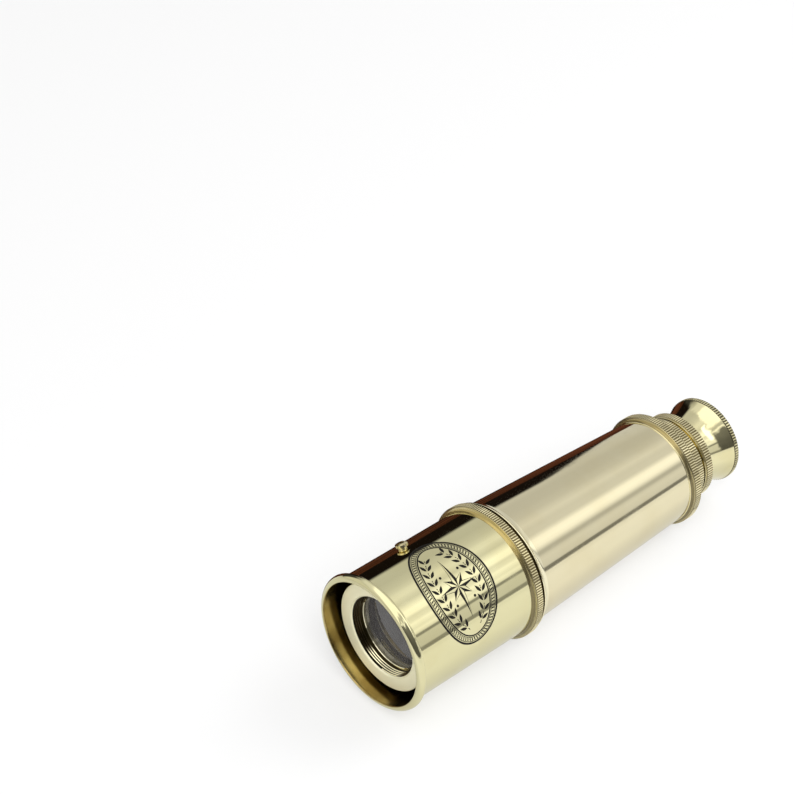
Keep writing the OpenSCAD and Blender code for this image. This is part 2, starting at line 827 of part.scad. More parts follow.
sunshade_tube();
sunshade_collar();
sunshade_bush();
sunshade_stop_screw();
objective_tube();
objective_cell();
objective_retaining_ring();
objective_crown_lens();
objective_flint_lens();
barrel_tube();
barrel_front_ring();
barrel_rear_collar();
barrel_draw_bush();
first_draw_tube();
first_draw_collar();
first_draw_lining();
first_draw_stop_ring();
second_draw_tube();
second_draw_collar();
second_draw_lining();
second_draw_stop_ring();
third_draw_tube();
third_draw_stop_ring();
eyecup();
eyepiece_tube();
eyepiece_field_lens();
eyepiece_field_stop();
eyepiece_eye_lens();
eyepiece_retaining_rings();
erector_tube();
erector_front_lens();
erector_rear_lens();
erector_stop_disc();
erector_retaining_rings();
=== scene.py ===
"""Spyglass with three sliding draws: the turned brass, its finishes, the floor, the light and the camera."""
import logging
import math
from dataclasses import dataclass
from enum import Enum
from functools import cache
from typing import Any, Sequence

import bmesh
import bpy
from mathutils import Matrix, Vector


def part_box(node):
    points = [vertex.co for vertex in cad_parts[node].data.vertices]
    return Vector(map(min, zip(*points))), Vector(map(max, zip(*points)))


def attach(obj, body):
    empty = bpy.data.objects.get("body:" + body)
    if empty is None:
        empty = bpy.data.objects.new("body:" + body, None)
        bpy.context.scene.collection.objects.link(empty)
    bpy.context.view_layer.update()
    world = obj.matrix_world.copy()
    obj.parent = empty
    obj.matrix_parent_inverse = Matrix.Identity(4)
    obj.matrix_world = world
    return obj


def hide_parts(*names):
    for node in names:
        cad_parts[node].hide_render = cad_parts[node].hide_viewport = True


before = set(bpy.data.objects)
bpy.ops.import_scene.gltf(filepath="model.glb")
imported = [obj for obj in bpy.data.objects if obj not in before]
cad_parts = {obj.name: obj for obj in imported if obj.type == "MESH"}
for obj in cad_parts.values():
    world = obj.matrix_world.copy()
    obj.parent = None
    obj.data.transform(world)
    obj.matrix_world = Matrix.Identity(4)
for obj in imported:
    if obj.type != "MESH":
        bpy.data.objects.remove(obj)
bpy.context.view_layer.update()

MM = 0.001
HALF_TURN = 180.0
LOG = logging.getLogger("spyglass")

Point = tuple[float, float]
Colour = tuple[float, float, float]
Object = bpy.types.Object
Material = bpy.types.Material
Node = bpy.types.Node
Socket = bpy.types.NodeSocket


class Body(Enum):
    """The moving bodies of the part."""

    BARREL = "barrel"
    SUNSHADE = "sunshade"
    FIRST_DRAW = "first_draw"
    SECOND_DRAW = "second_draw"
    THIRD_DRAW = "third_draw"


class Slot(Enum):
    """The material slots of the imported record."""

    TUBE = "tube_brass"
    COLLAR = "collar_brass"
    RING = "ring_brass"
    INNER = "inner_brass"
    BLACKENED = "blackened_brass"
    GLASS = "optical_glass"


class Grain(Enum):
    """How a finish was worked, as the waves to the metre of its marks along, across and above the axis."""

    DRAWN = (30, 1400, 1400)
    TURNED = (5200, 90, 90)


@dataclass(frozen=True)
class Axis:
    """The optical axis in the part's frame: stations count back from the lip of the sunshade.

    Attributes:
        lip_x: Where station 0 lies, in metres.
        height: Height of the axis above the part's base, in metres.
    """

    lip_x: float
    height: float

    @classmethod
    def from_cad(cls) -> "Axis":
        """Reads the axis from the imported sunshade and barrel."""
        low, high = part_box("barrel_tube")
        return cls(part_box("sunshade_tube")[0].x, (low.z + high.z) / 2)

    def x(self, station: float) -> float:
        """Gives the x of a station in millimetres."""
        return self.lip_x + station * MM

    def point(self, station: float, radius: float, angle: float) -> Vector:
        """Gives a point; its angle is in radians, 0 on top and growing towards the camera's side."""
        side, up = radius * MM * math.sin(angle), radius * MM * math.cos(angle)
        return Vector((self.x(station), -side, self.height + up))


AXIS = Axis.from_cad()


class Board:
    """A node tree under construction, with short calls for the nodes that are used most."""

    def __init__(self, tree: bpy.types.NodeTree) -> None:
        """Starts on an empty material, world or geometry tree."""
        self.tree = tree
        tree.nodes.clear()

    def add(self, kind: str, inputs: dict[Any, Any] | None = None, **settings: Any) -> Node:
        """Adds a node.

        Args:
            kind: The node's type.
            inputs: Values or sockets to feed in, by input name or index.
            **settings: Properties of the node itself.

        Returns:
            The new node.
        """
        node = self.tree.nodes.new(kind)
        for name, value in settings.items():
            setattr(node, name, value)
        for key, value in (inputs or {}).items():
            self.feed(node.inputs[key], value)
        return node

    def feed(self, socket: Socket, value: Any) -> None:
        """Links a socket, or sets its constant.

        Args:
            socket: The input to feed.
            value: Another node's output socket, or a plain value.
        """
        if isinstance(value, bpy.types.NodeSocket):
            self.tree.links.new(value, socket)
        elif isinstance(value, tuple) and socket.type == "RGBA":
            socket.default_value = (*value[:3], 1.0)
        else:
            socket.default_value = value

    def math(self, operation: str, a: Any, b: Any = 0.0, c: Any = 0.0, clamp: bool = False) -> Socket:
        """Adds a maths step on two or three numbers.

        Args:
            operation: The step's operation.
            a: First number or socket.
            b: Second number or socket.
            c: Third number or socket.
            clamp: Whether the result is held between 0 and 1.

        Returns:
            The result's socket.
        """
        kind = "ShaderNodeMath"
        node = self.add(kind, {0: a, 1: b, 2: c}, operation=operation, use_clamp=clamp)
        return node.outputs[0]

    def span(
        self, value: Socket, low: float, high: float, to_low: float = 0.0, to_high: float = 1.0,
    ) -> Socket:
        """Maps a range of a number smoothly to another.

        Args:
            value: The number.
            low: Start of its range.
            high: End of its range.
            to_low: What the start becomes.
            to_high: What the end becomes.

        Returns:
            The mapped number, held within the new range.
        """
        node = self.add("ShaderNodeMapRange", {0: value, 1: low, 2: high, 3: to_low, 4: to_high})
        node.interpolation_type = "SMOOTHSTEP"
        return node.outputs[0]

    def blend(self, factor: Any, first: Any, second: Any) -> Socket:
        """Mixes two colours.

        Args:
            factor: Share of the second colour.
            first: Colour at 0.
            second: Colour at 1.

        Returns:
            The mixed colour's socket.
        """
        node = self.add("ShaderNodeMix", data_type="RGBA")
        for socket, value in zip((node.inputs[0], node.inputs[6], node.inputs[7]), (factor, first, second)):
            self.feed(socket, value)
        return node.outputs[2]

    def window(self, value: Any, low: float, high: float, soft: float) -> Socket:
        """Gives 1 between two limits and 0 outside them, with a soft fall centred on each limit."""
        rise = self.span(value, low - soft / 2, low + soft / 2)
        return self.math("MULTIPLY", rise, self.span(value, high - soft / 2, high + soft / 2, 1.0, 0.0))

    def levels(self, value: Any, stops: Sequence[Point], reach: float) -> Socket:
        """Reads a grey level off a list of stops.

        Args:
            value: Where to read, as a share of the reach.
            stops: Places and levels, with rising places.
            reach: The place that a share of 1 stands for.

        Returns:
            The level's socket.
        """
        node = self.add("ShaderNodeValToRGB", {0: value})
        bands = node.color_ramp
        bands.elements[0].position, bands.elements[1].position = stops[0][0] / reach, stops[-1][0] / reach
        for place, _ in stops[1:-1]:
            bands.elements.new(place / reach)
        for element, (_, level) in zip(bands.elements, stops):
            element.color = (level, level, level, 1.0)
        return node.outputs[0]

    def noise(self, place: Socket, scale: float, detail: float = 2.0, roughness: float = 0.5) -> Socket:
        """Adds noise from 0 to 1; the scale counts waves to the metre, the detail counts finer layers."""
        inputs = {"Vector": place, "Scale": scale, "Detail": detail, "Roughness": roughness}
        return self.add("ShaderNodeTexNoise", inputs).outputs["Fac"]

    def stretched(self, place: Socket, scale: Sequence[float]) -> Socket:
        """Scales coordinates by a factor for each direction."""
        inputs = {0: place, 1: tuple(scale)}
        return self.add("ShaderNodeVectorMath", inputs, operation="MULTIPLY").outputs[0]

    def from_axis(self, place: Socket) -> Socket:
        """Measures a place's distance from the optical axis, in metres."""
        parts = self.add("ShaderNodeSeparateXYZ", {0: place})
        return self.diagonal(parts.outputs[1], self.math("SUBTRACT", parts.outputs[2], AXIS.height))

    def diagonal(self, wide: Socket, high: Socket) -> Socket:
        """Measures the diagonal of two sides at a right angle."""
        squares = (self.math("MULTIPLY", side, side) for side in (wide, high))
        return self.math("SQRT", self.math("ADD", *squares))


def new_material(name: str) -> tuple[Material, Board]:
    """Makes an empty material.

    Args:
        name: Name of the material.

    Returns:
        The material, and the board to fill it on.
    """
    made = bpy.data.materials.new(name)
    made.use_nodes = True
    return made, Board(made.node_tree)


class Finish:
    """A finish whose material is built the first time that a piece asks for it."""

    name: str

    def paint(self, board: Board, place: Socket) -> Node:
        """Lays the finish's nodes for a position on the piece, and gives their shader."""
        raise NotImplementedError

    def material(self) -> Material:
        """Gives the finish's material.

        Returns:
            The material, built by the first call.
        """
        made = bpy.data.materials.get(self.name)
        if not made:
            made, board = new_material(self.name)
            shader = self.paint(board, board.add("ShaderNodeTexCoord").outputs["Object"])
            board.add("ShaderNodeOutputMaterial", {0: shader.outputs[0]})
        return made


@dataclass(frozen=True)
class Lining:
    """The finish of a tube's bore, told from its outside by the distance from the optical axis.

    Attributes:
        radius: Radius that parts the two at the middle of the part, in millimetres.
        colour: Reflected colour of the bore.
        worn: Its colour in darker patches.
        roughness: Its roughness.
        taper: Fall of that radius for each millimetre towards the eye.
        metal: 1 where the bore is bare metal and 0 where it is blackened.
    """

    radius: float
    colour: Colour
    worn: Colour
    roughness: float
    taper: float = 0.0
    metal: float = 1.0


@dataclass(frozen=True)
class BrassFinish(Finish):
    """Worked and lacquered brass.

    Attributes:
        name: Name of the finish.
        colour: Reflected colour of the clean metal.
        aged: Reflected colour of the handled and yellowed patches.
        roughness: Mean roughness.
        grain: How the surface was worked.
        grain_depth: Depth of the working marks, in metres.
        waviness: Depth of the broad unevenness of thin tube, in metres.
        groove: Radii of groove floor and ridge top of a knurl that is darker between its ridges, in
            millimetres.
        groove_colour: That darker colour.
        lining: Finish of the bore, where it has one of its own.
        corner: Stations of a hollow coloured deeper gold, partly patina and partly painted shade
            of the recess, in millimetres.
        deep: That deeper colour.
        shaded: Direction round the axis in which painted shade darkens the hollow most, in radians from the
            top.
        hollow_shade: The painted shade colour of the hollow in that direction.
        upper_shade_heights: Heights over the axis between which the metal turns to painted shade above,
            leaving it lit only below, in millimetres.
        upper_shade: Colour of that painted shade.
        metal: 1 for a mirror of bare metal, less where a matt skin also scatters light.
    """

    name: str
    colour: Colour
    aged: Colour
    roughness: float = 0.09
    grain: Grain = Grain.TURNED
    grain_depth: float = 1.5e-6
    waviness: float = 0.0
    groove: tuple[float, float] | None = None
    groove_colour: Colour = (0.035, 0.025, 0.010)
    lining: Lining | None = None
    corner: tuple[float, float] | None = None
    deep: Colour = (0.43, 0.32, 0.09)
    shaded: float = 1.9
    hollow_shade: Colour = (0.13, 0.10, 0.035)
    upper_shade_heights: tuple[float, float] | None = None
    upper_shade: Colour = (0.045, 0.032, 0.014)
    metal: float = 1.0

    def paint(self, board: Board, place: Socket) -> Node:
        """Lays brass with its working marks, worn patches, darker knurl grooves, painted shade and bore.

        Args:
            board: The board to lay it on.
            place: The position on the piece.

        Returns:
            The shader.
        """
        fine = board.noise(board.stretched(place, self.grain.value), 1.0, 3.0, 0.6)
        cloud = board.noise(place, 70.0, 3.0, 0.55)
        smudge = board.noise(board.stretched(place, (1.0, 1.6, 1.6)), 210.0, 4.0, 0.6)
        worn = board.span(cloud, 0.42, 0.7)
        colour = board.blend(board.math("MULTIPLY", worn, 0.55), self.colour, self.aged)
        rough = board.math("ADD", board.span(fine, 0.25, 0.75, -0.02, 0.02), self.roughness)
        rough = board.math("ADD", rough, board.span(smudge, 0.5, 0.72, 0.0, 0.05))
        # Knurls are made darker between their ridges.
        if self.groove:
            floor, top = (r * MM for r in self.groove)
            far = board.from_axis(place)
            low = board.span(far, floor + 0.2 * (top - floor), top - 0.1 * (top - floor), 1.0, 0.0)
            low = board.math("MULTIPLY", low, board.span(far, floor - 0.08 * MM, floor - 0.03 * MM))
            colour = board.blend(board.math("MULTIPLY", low, 0.9), colour, self.groove_colour)
            rough = board.math("ADD", rough, board.math("MULTIPLY", low, 0.25))
        parts = board.add("ShaderNodeSeparateXYZ", {0: place}).outputs
        metal: Any = self.metal
        # A hollow is painted a deeper gold, partly patina and partly shade of the recess, and darker still
        # towards one side as painted shade.
        if self.corner:
            kept = board.window(parts[0], AXIS.x(self.corner[0]), AXIS.x(self.corner[1]), 0.3 * MM)
            up = board.math("SUBTRACT", parts[2], AXIS.height)
            rise = board.math("MULTIPLY", up, math.cos(self.shaded))
            facing = board.math("SUBTRACT", rise, board.math("MULTIPLY", parts[1], math.sin(self.shaded)))
            hollow_shade_share = board.span(board.math("DIVIDE", facing, board.from_axis(place)), 0.1, 0.6)
            hollow = board.blend(hollow_shade_share, self.deep, self.hollow_shade)
            colour = board.blend(board.math("MULTIPLY", kept, 0.9), colour, hollow)
            rough = board.math("ADD", rough, board.math("MULTIPLY", kept, 0.06))
            metal = board.math("SUBTRACT", metal, board.math("MULTIPLY", kept, 0.3))
        # Painted shade darkens the metal above a height, so that it looks lit only at the bottom.
        if self.upper_shade_heights:
            low, high = (AXIS.height + h * MM for h in self.upper_shade_heights)
            upper_shade = board.span(parts[2], low, high)
            colour = board.blend(upper_shade, colour, self.upper_shade)
            rough = board.math("ADD", rough, board.math("MULTIPLY", upper_shade, 0.15))
        lining = self.lining
        if lining:
            narrowing = board.math("MULTIPLY", parts[0], lining.taper)
            wall = board.math("ADD", board.from_axis(place), narrowing)
            bore = board.math("LESS_THAN", wall, lining.radius * MM)
            patchy = board.blend(board.span(cloud, 0.38, 0.6), lining.colour, lining.worn)
            colour = board.blend(bore, colour, patchy)
            rougher, barer = lining.roughness - self.roughness, lining.metal - self.metal
            rough = board.math("ADD", rough, board.math("MULTIPLY", bore, rougher))
            metal = board.math("ADD", metal, board.math("MULTIPLY", bore, barer))
        height = board.math("MULTIPLY", fine, self.grain_depth)
        if self.waviness:
            wave = board.noise(board.stretched(place, (0.5, 1.0, 1.0)), 95.0, 1.0, 0.4)
            height = board.math("ADD", height, board.math("MULTIPLY", wave, self.waviness))
        bump = board.add("ShaderNodeBump", {"Height": height, "Strength": 1.0, "Distance": 1.0})
        inputs = {"Metallic": metal, "Base Color": colour, "Roughness": rough, "Normal": bump.outputs[0]}
        return board.add("ShaderNodeBsdfPrincipled", inputs)


@dataclass(frozen=True)
class BlackFinish(Finish):
    """Chemically blackened brass inside the optical parts, or black filler in an engraving.

    Attributes:
        name: Name of the finish.
        colour: Main colour.
        worn: Colour where it has rubbed thin.
        roughness: Mean roughness.
        shine: Level of its specular reflection.
    """

    name: str
    colour: Colour
    worn: Colour
    roughness: float
    shine: float = 0.3

    def paint(self, board: Board, place: Socket) -> Node:
        """Lays a speckled dark coat.

        Args:
            board: The board to lay it on.
            place: The position on the piece.

        Returns:
            The shader.
        """
        speck = board.noise(place, 900.0, 4.0, 0.65)
        colour = board.blend(board.span(speck, 0.5, 0.75), self.colour, self.worn)
        rough = board.span(board.noise(place, 320.0), 0.3, 0.7, self.roughness - 0.08, self.roughness + 0.08)
        bump = board.add("ShaderNodeBump", {"Height": speck, "Strength": 0.25, "Distance": 0.00002})
        inputs = {"Base Color": colour, "Roughness": rough, "Specular IOR Level": self.shine}
        return board.add("ShaderNodeBsdfPrincipled", {**inputs, "Normal": bump.outputs[0]})


@dataclass(frozen=True)
class GlassFinish(Finish):
    """Clear optical glass with a trace of haze and dust.

    Attributes:
        name: Name of the finish.
        ior: Index of refraction.
        tint: Colour of the glass.
        edge: Radius past which the lens is ground and blackened, in millimetres.
        haze: Share of light that the dust on it scatters.
    """

    name: str
    ior: float = 1.52
    tint: Colour = (0.97, 0.98, 0.97)
    edge: float = 0.0
    haze: float = 0.0

    def paint(self, board: Board, place: Socket) -> Node:
        """Lays glass with its haze, its dust and its blackened edge.

        Args:
            board: The board to lay it on.
            place: The position on the piece.

        Returns:
            The shader.
        """
        haze = board.noise(place, 160.0, 4.0, 0.6)
        dust = board.span(board.noise(place, 2600.0, 2.0, 0.5), 0.72, 0.8)
        colour = board.blend(dust, self.tint, tuple(0.9 * c + 0.06 for c in self.tint))
        rough = board.math("ADD", board.span(haze, 0.4, 0.75, 0.0, 0.06), board.math("MULTIPLY", dust, 0.3))
        clear: Any = 1.0 - self.haze
        if self.haze:
            clear = board.span(haze, 0.3, 0.7, 1.0 - 0.85 * self.haze, 1.0 - 1.15 * self.haze)
        if self.edge:
            rim = board.math("GREATER_THAN", board.from_axis(place), self.edge * MM)
            colour = board.blend(rim, colour, (0.01, 0.01, 0.01))
            rough = board.math("ADD", rough, board.math("MULTIPLY", rim, 0.6))
            clear = board.math("MULTIPLY", clear, board.math("SUBTRACT", 1.0, rim))
        inputs = {"Base Color": colour, "Roughness": rough, "IOR": self.ior, "Transmission Weight": clear}
        return board.add("ShaderNodeBsdfPrincipled", inputs)


SATIN_BORE = Lining(19.3, (0.60, 0.47, 0.19), (0.30, 0.21, 0.07), 0.17)
BLACK_CELL = Lining(12.44, (0.05, 0.04, 0.02), (0.03, 0.024, 0.012), 0.40)
BLACK_TUBE = Lining(15.65, (0.012, 0.011, 0.010), (0.02, 0.018, 0.014), 0.55, 0.0, 0.0)
BLACK_BARREL = Lining(18.10, (0.012, 0.011, 0.010), (0.02, 0.018, 0.014), 0.55, 0.0421, 0.0)
SHADE_BRASS = BrassFinish(
    "sunshade brass", (0.69, 0.65, 0.39), (0.65, 0.595, 0.33), 0.045, Grain.DRAWN, 2e-7, 3e-6,
    lining=SATIN_BORE,
)
BARREL_BRASS = BrassFinish(
    "barrel brass", (0.73, 0.665, 0.45), (0.70, 0.625, 0.40), 0.06, Grain.DRAWN, 2e-7, 3e-6,
    lining=BLACK_BARREL,
)
DRAW_BRASS = BrassFinish(
    "draw tube brass", (0.78, 0.71, 0.47), (0.73, 0.645, 0.39), 0.07, Grain.DRAWN, 3e-7, 2e-6,
)
TUBE_BRASS = BrassFinish(
    "objective tube brass", (0.78, 0.71, 0.47), (0.73, 0.645, 0.39), 0.08, Grain.DRAWN, 3e-7, 2e-6,
    lining=BLACK_TUBE,
)
INNER_BRASS = BrassFinish("inner brass", (0.62, 0.50, 0.26), (0.45, 0.34, 0.15), 0.24, Grain.TURNED, 2e-6)
# Nearly black brass for the sunshade's bush: painted shade of the deep gap behind the sunshade's collar.
GAP_SHADE_BRASS = BrassFinish("darkened brass", (0.06, 0.045, 0.02), (0.03, 0.022, 0.01), 0.35, Grain.TURNED, 2e-6)
# The thread is pale gold and painted with shade above, so that only its bottom looks lit.
THREAD_BRASS = BrassFinish(
    "thread brass", (0.95, 0.88, 0.58), (0.92, 0.82, 0.48), 0.12, Grain.TURNED, 1e-6, upper_shade_heights=(-11.2, -9.6),
)
PALE_RING = BrassFinish("pale ring brass", (0.82, 0.765, 0.54), (0.78, 0.71, 0.46), 0.09, Grain.TURNED, 8e-7)
CELL_FACE = BrassFinish(
    "satin cell brass", (0.92, 0.88, 0.62), (0.89, 0.84, 0.57), 0.5, Grain.TURNED, 3e-6,
    lining=BLACK_CELL, metal=0.5,
)
EYECUP_BRASS = BrassFinish(
    "eyecup brass", (0.74, 0.69, 0.42), (0.69, 0.62, 0.34), 0.05, Grain.TURNED, 5e-7, groove=(13.47, 13.65),
)
SCREW_BRASS = BrassFinish("screw brass", (0.74, 0.67, 0.42), (0.60, 0.50, 0.28), 0.12, Grain.TURNED, 1e-6)
BLACKENED = BlackFinish("blackened brass", (0.012, 0.011, 0.010), (0.03, 0.026, 0.02), 0.5)
FILLER = BlackFinish("engraving filler", (0.008, 0.007, 0.006), (0.022, 0.018, 0.012), 0.45, 0.12)
LENS_GLASS = GlassFinish("optical glass")
FRONT_GLASS = GlassFinish("front lens glass", 1.52, (0.20, 0.19, 0.187), 12.2, 0.4)


def arc(centre: Point, radius: float, start: float, end: float, steps: int) -> list[Point]:
    """Gives points on an arc of a profile.

    Args:
        centre: Station and radius of its centre.
        radius: Its own radius.
        start: First angle in degrees, 0 towards the eye, 90 away from the axis.
        end: Last angle in degrees.
        steps: Number of chords.

    Returns:
        The points as stations and radii.
    """
    turns = (math.radians(start + (end - start) * i / steps) for i in range(steps + 1))
    return [(centre[0] + radius * math.cos(t), centre[1] + radius * math.sin(t)) for t in turns]


def bow(sphere: float, radius: float) -> float:
    """Gives how far a sphere of one radius has curved away at another radius from its pole."""
    return sphere - math.sqrt(sphere * sphere - radius * radius)


def held(profile: Sequence[Point], margin: float = 0.12) -> list[Point]:
    """Adds points close to both ends of each long stretch, so that smooth shading stays in the corners.

    Args:
        profile: A closed profile.
        margin: Distance from the ends, in millimetres.

    Returns:
        The profile with the added points.
    """
    points: list[Point] = []
    for i, (s, r) in enumerate(profile):
        points.append((s, r))
        s1, r1 = profile[(i + 1) % len(profile)]
        length = math.hypot(s1 - s, r1 - r)
        if length > 4 * margin:
            share = margin / length
            for t in (share, 1 - share):
                points.append((s + (s1 - s) * t, r + (r1 - r) * t))
    return points


def turned(name: str, profile: Sequence[Point], segments: int = 256) -> Object:
    """Turns a closed profile about the optical axis.

    Args:
        name: Name of the piece.
        profile: Stations and radii in millimetres; points on the axis become poles.
        segments: Number of facets round the axis.

    Returns:
        The new piece, closed, with its faces outwards.
    """
    verts: list[Vector] = []
    rings: list[list[int]] = []
    for s, r in profile:
        if r < 1e-6:
            rings.append([len(verts)])
            verts.append(AXIS.point(s, 0.0, 0.0))
        else:
            rings.append(list(range(len(verts), len(verts) + segments)))
            verts.extend(AXIS.point(s, r, 2 * math.pi * i / segments) for i in range(segments))
    faces: list[tuple[int, ...]] = []
    for one, two in zip(rings, rings[1:] + rings[:1]):
        if len(one) == 1 and len(two) == 1:
            continue
        for i in range(segments):
            j = (i + 1) % segments
            if len(one) == 1:
                faces.append((one[0], two[j], two[i]))
            elif len(two) == 1:
                faces.append((one[i], one[j], two[0]))
            else:
                faces.append((one[i], one[j], two[j], two[i]))
    mesh = bpy.data.meshes.new(name)
    mesh.from_pydata([tuple(v) for v in verts], [], faces)
    return finished_mesh(name, mesh)


def finished_mesh(name: str, mesh: bpy.types.Mesh, crease: float = 28.0) -> Object:
    """Turns a mesh's faces outwards, shades it, and puts it in the scene.

    Args:
        name: Name of the piece.
        mesh: Its mesh, in place.
        crease: Angle in degrees past which an edge stays sharp.

    Returns:
        The piece.
    """
    work = bmesh.new()
    work.from_mesh(mesh)
    bmesh.ops.recalc_face_normals(work, faces=work.faces)
    work.to_mesh(mesh)
    work.free()
    mesh.shade_smooth()
    mesh.set_sharp_from_angle(angle=math.radians(crease))
    piece = bpy.data.objects.new(name, mesh)
    bpy.context.scene.collection.objects.link(piece)
    return piece


def ordered_mesh(name: str, work: bmesh.types.BMesh) -> bpy.types.Mesh:
    """Writes a closed shape in a fixed order, because cutting and extruding leave one that varies by run.

    Args:
        name: Name of the mesh.
        work: The shape, which is freed.

    Returns:
        The mesh, with its points sorted by place and each face starting at its first point.
    """
    bmesh.ops.recalc_face_normals(work, faces=work.faces)
    points = sorted(work.verts, key=lambda point: tuple(point.co))
    order = {point: i for i, point in enumerate(points)}
    faces: list[list[int]] = []
    for face in work.faces:
        corners = [order[point] for point in face.verts]
        first = corners.index(min(corners))
        faces.append(corners[first:] + corners[:first])
    mesh = bpy.data.meshes.new(name)
    mesh.from_pydata([tuple(point.co) for point in points], [], sorted(faces))
    work.free()
    return mesh


class ShapeTree:
    """A Geometry Nodes tree with named inputs, run once on a piece and turned into a plain mesh."""

    def __init__(self, name: str, inputs: dict[str, str]) -> None:
        """Starts the tree.

        Args:
            name: Name of the tree.
            inputs: Type of socket for each named input.
        """
        self.tree = bpy.data.node_groups.new(name, "GeometryNodeTree")
        self.board = Board(self.tree)
        face = self.tree.interface
        face.new_socket(name="Geometry", in_out="INPUT", socket_type="NodeSocketGeometry")
        self.names = {
            key: face.new_socket(name=key, in_out="INPUT", socket_type=kind).identifier
            for key, kind in {**inputs, "Finish": "NodeSocketMaterial"}.items()
        }
        face.new_socket(name="Geometry", in_out="OUTPUT", socket_type="NodeSocketGeometry")
        self.given = self.board.add("NodeGroupInput")

    def value(self, name: str) -> Socket:
        """Gives a named input's socket inside the tree."""
        return self.given.outputs[name]

    def end(self, shape: Socket) -> None:
        """Closes the tree with its instances made real and its material set.

        Args:
            shape: The geometry that the tree has made.
        """
        real = self.board.add("GeometryNodeRealizeInstances", {0: shape})
        inputs = {"Geometry": real.outputs[0], "Material": self.value("Finish")}
        dressed = self.board.add("GeometryNodeSetMaterial", inputs)
        self.board.add("NodeGroupOutput", {0: dressed.outputs[0]})

    def run(self, piece: Object, values: dict[str, Any], crease: float = 28.0) -> Object:
        """Runs the tree on a piece and keeps the result as its mesh.

        Args:
            piece: The piece to work on.
            values: A value for each named input.
            crease: Angle in degrees past which an edge stays sharp.

        Returns:
            The same piece, with a plain mesh.
        """
        step = piece.modifiers.new(self.tree.name, "NODES")
        step.node_group = self.tree
        for key, value in values.items():
            step[self.names[key]] = value
        graph = bpy.context.evaluated_depsgraph_get()
        graph.update()
        mesh = bpy.data.meshes.new_from_object(piece.evaluated_get(graph), depsgraph=graph)
        piece.modifiers.clear()
        piece.data = mesh
        mesh.name = piece.name
        mesh.shade_smooth()
        mesh.set_sharp_from_angle(angle=math.radians(crease))
        return piece


@cache
def knurl_tree() -> ShapeTree:
    """Builds the tree that presses straight ridges into a turned blank.

    Returns:
        The tree, with inputs for the ridges' number, tip radius and height.
    """
    shape = ShapeTree("straight knurl", {
        "Ridges": "NodeSocketFloat", "Tip Radius": "NodeSocketFloat", "Ridge Height": "NodeSocketFloat",
        "Axis Height": "NodeSocketFloat", "Start": "NodeSocketFloat", "End": "NodeSocketFloat",
    })
    board = shape.board
    place = board.add("GeometryNodeInputPosition").outputs[0]
    parts = board.add("ShaderNodeSeparateXYZ", {0: place}).outputs
    rise = board.math("SUBTRACT", parts[2], shape.value("Axis Height"))
    radius = board.diagonal(parts[1], rise)
    angle = board.math("ARCTAN2", board.math("MULTIPLY", parts[1], -1.0), rise)
    turn = board.math("MULTIPLY", angle, board.math("DIVIDE", shape.value("Ridges"), 2 * math.pi))
    phase = board.math("FRACT", board.math("ADD", turn, 1000.001))
    away = board.math("ABSOLUTE", board.math("SUBTRACT", board.math("MULTIPLY", phase, 4.0), 2.5))
    ridge = board.math("SUBTRACT", 1.5, away, clamp=True)
    drop = board.math("MULTIPLY", shape.value("Ridge Height"), board.math("SUBTRACT", 1.0, ridge))
    limit = board.math("SUBTRACT", shape.value("Tip Radius"), drop)
    cut = board.math("DIVIDE", board.math("MINIMUM", radius, limit), radius)
    inside = board.math("MULTIPLY", board.math("GREATER_THAN", parts[0], shape.value("Start")),
                        board.math("LESS_THAN", parts[0], shape.value("End")))
    pressed = board.add("ShaderNodeCombineXYZ", {
        0: parts[0], 1: board.math("MULTIPLY", parts[1], cut),
        2: board.math("ADD", shape.value("Axis Height"), board.math("MULTIPLY", rise, cut)),
    }).outputs[0]
    moved = board.add("GeometryNodeSetPosition", {
        "Geometry": shape.value("Geometry"), "Selection": inside, "Position": pressed,
    })
    shape.end(moved.outputs[0])
    return shape


@cache
def thread_tree() -> ShapeTree:
    """Builds the tree that winds a screw thread round the optical axis.

    Returns:
        The tree, with inputs for the thread's radius, depth, pitch, turns and place.
    """
    shape = ShapeTree("screw thread", {
        "Thread Radius": "NodeSocketFloat", "Thread Depth": "NodeSocketFloat", "Pitch": "NodeSocketFloat",
        "Turns": "NodeSocketFloat", "Start": "NodeSocketVector",
    })
    board = shape.board
    length = board.math("MULTIPLY", shape.value("Pitch"), shape.value("Turns"))
    coil = board.add("GeometryNodeCurveSpiral", {
        "Resolution": 96, "Rotations": shape.value("Turns"), "Start Radius": shape.value("Thread Radius"),
        "End Radius": shape.value("Thread Radius"), "Height": length,
    })
    level = board.add("GeometryNodeSetCurveNormal", {"Curve": coil.outputs[0]}, mode="Z_UP")
    ridge = board.add("GeometryNodeCurvePrimitiveCircle", {
        "Resolution": 4, "Radius": shape.value("Thread Depth"),
    })
    wound = board.add("GeometryNodeCurveToMesh", {
        "Curve": level.outputs[0], "Profile Curve": ridge.outputs[0], "Fill Caps": True,
    })
    laid = board.add("GeometryNodeTransform", {
        "Geometry": wound.outputs[0], "Translation": shape.value("Start"),
        "Rotation": (0.0, math.pi / 2, 0.0),
    })
    shape.end(laid.outputs[0])
    return shape


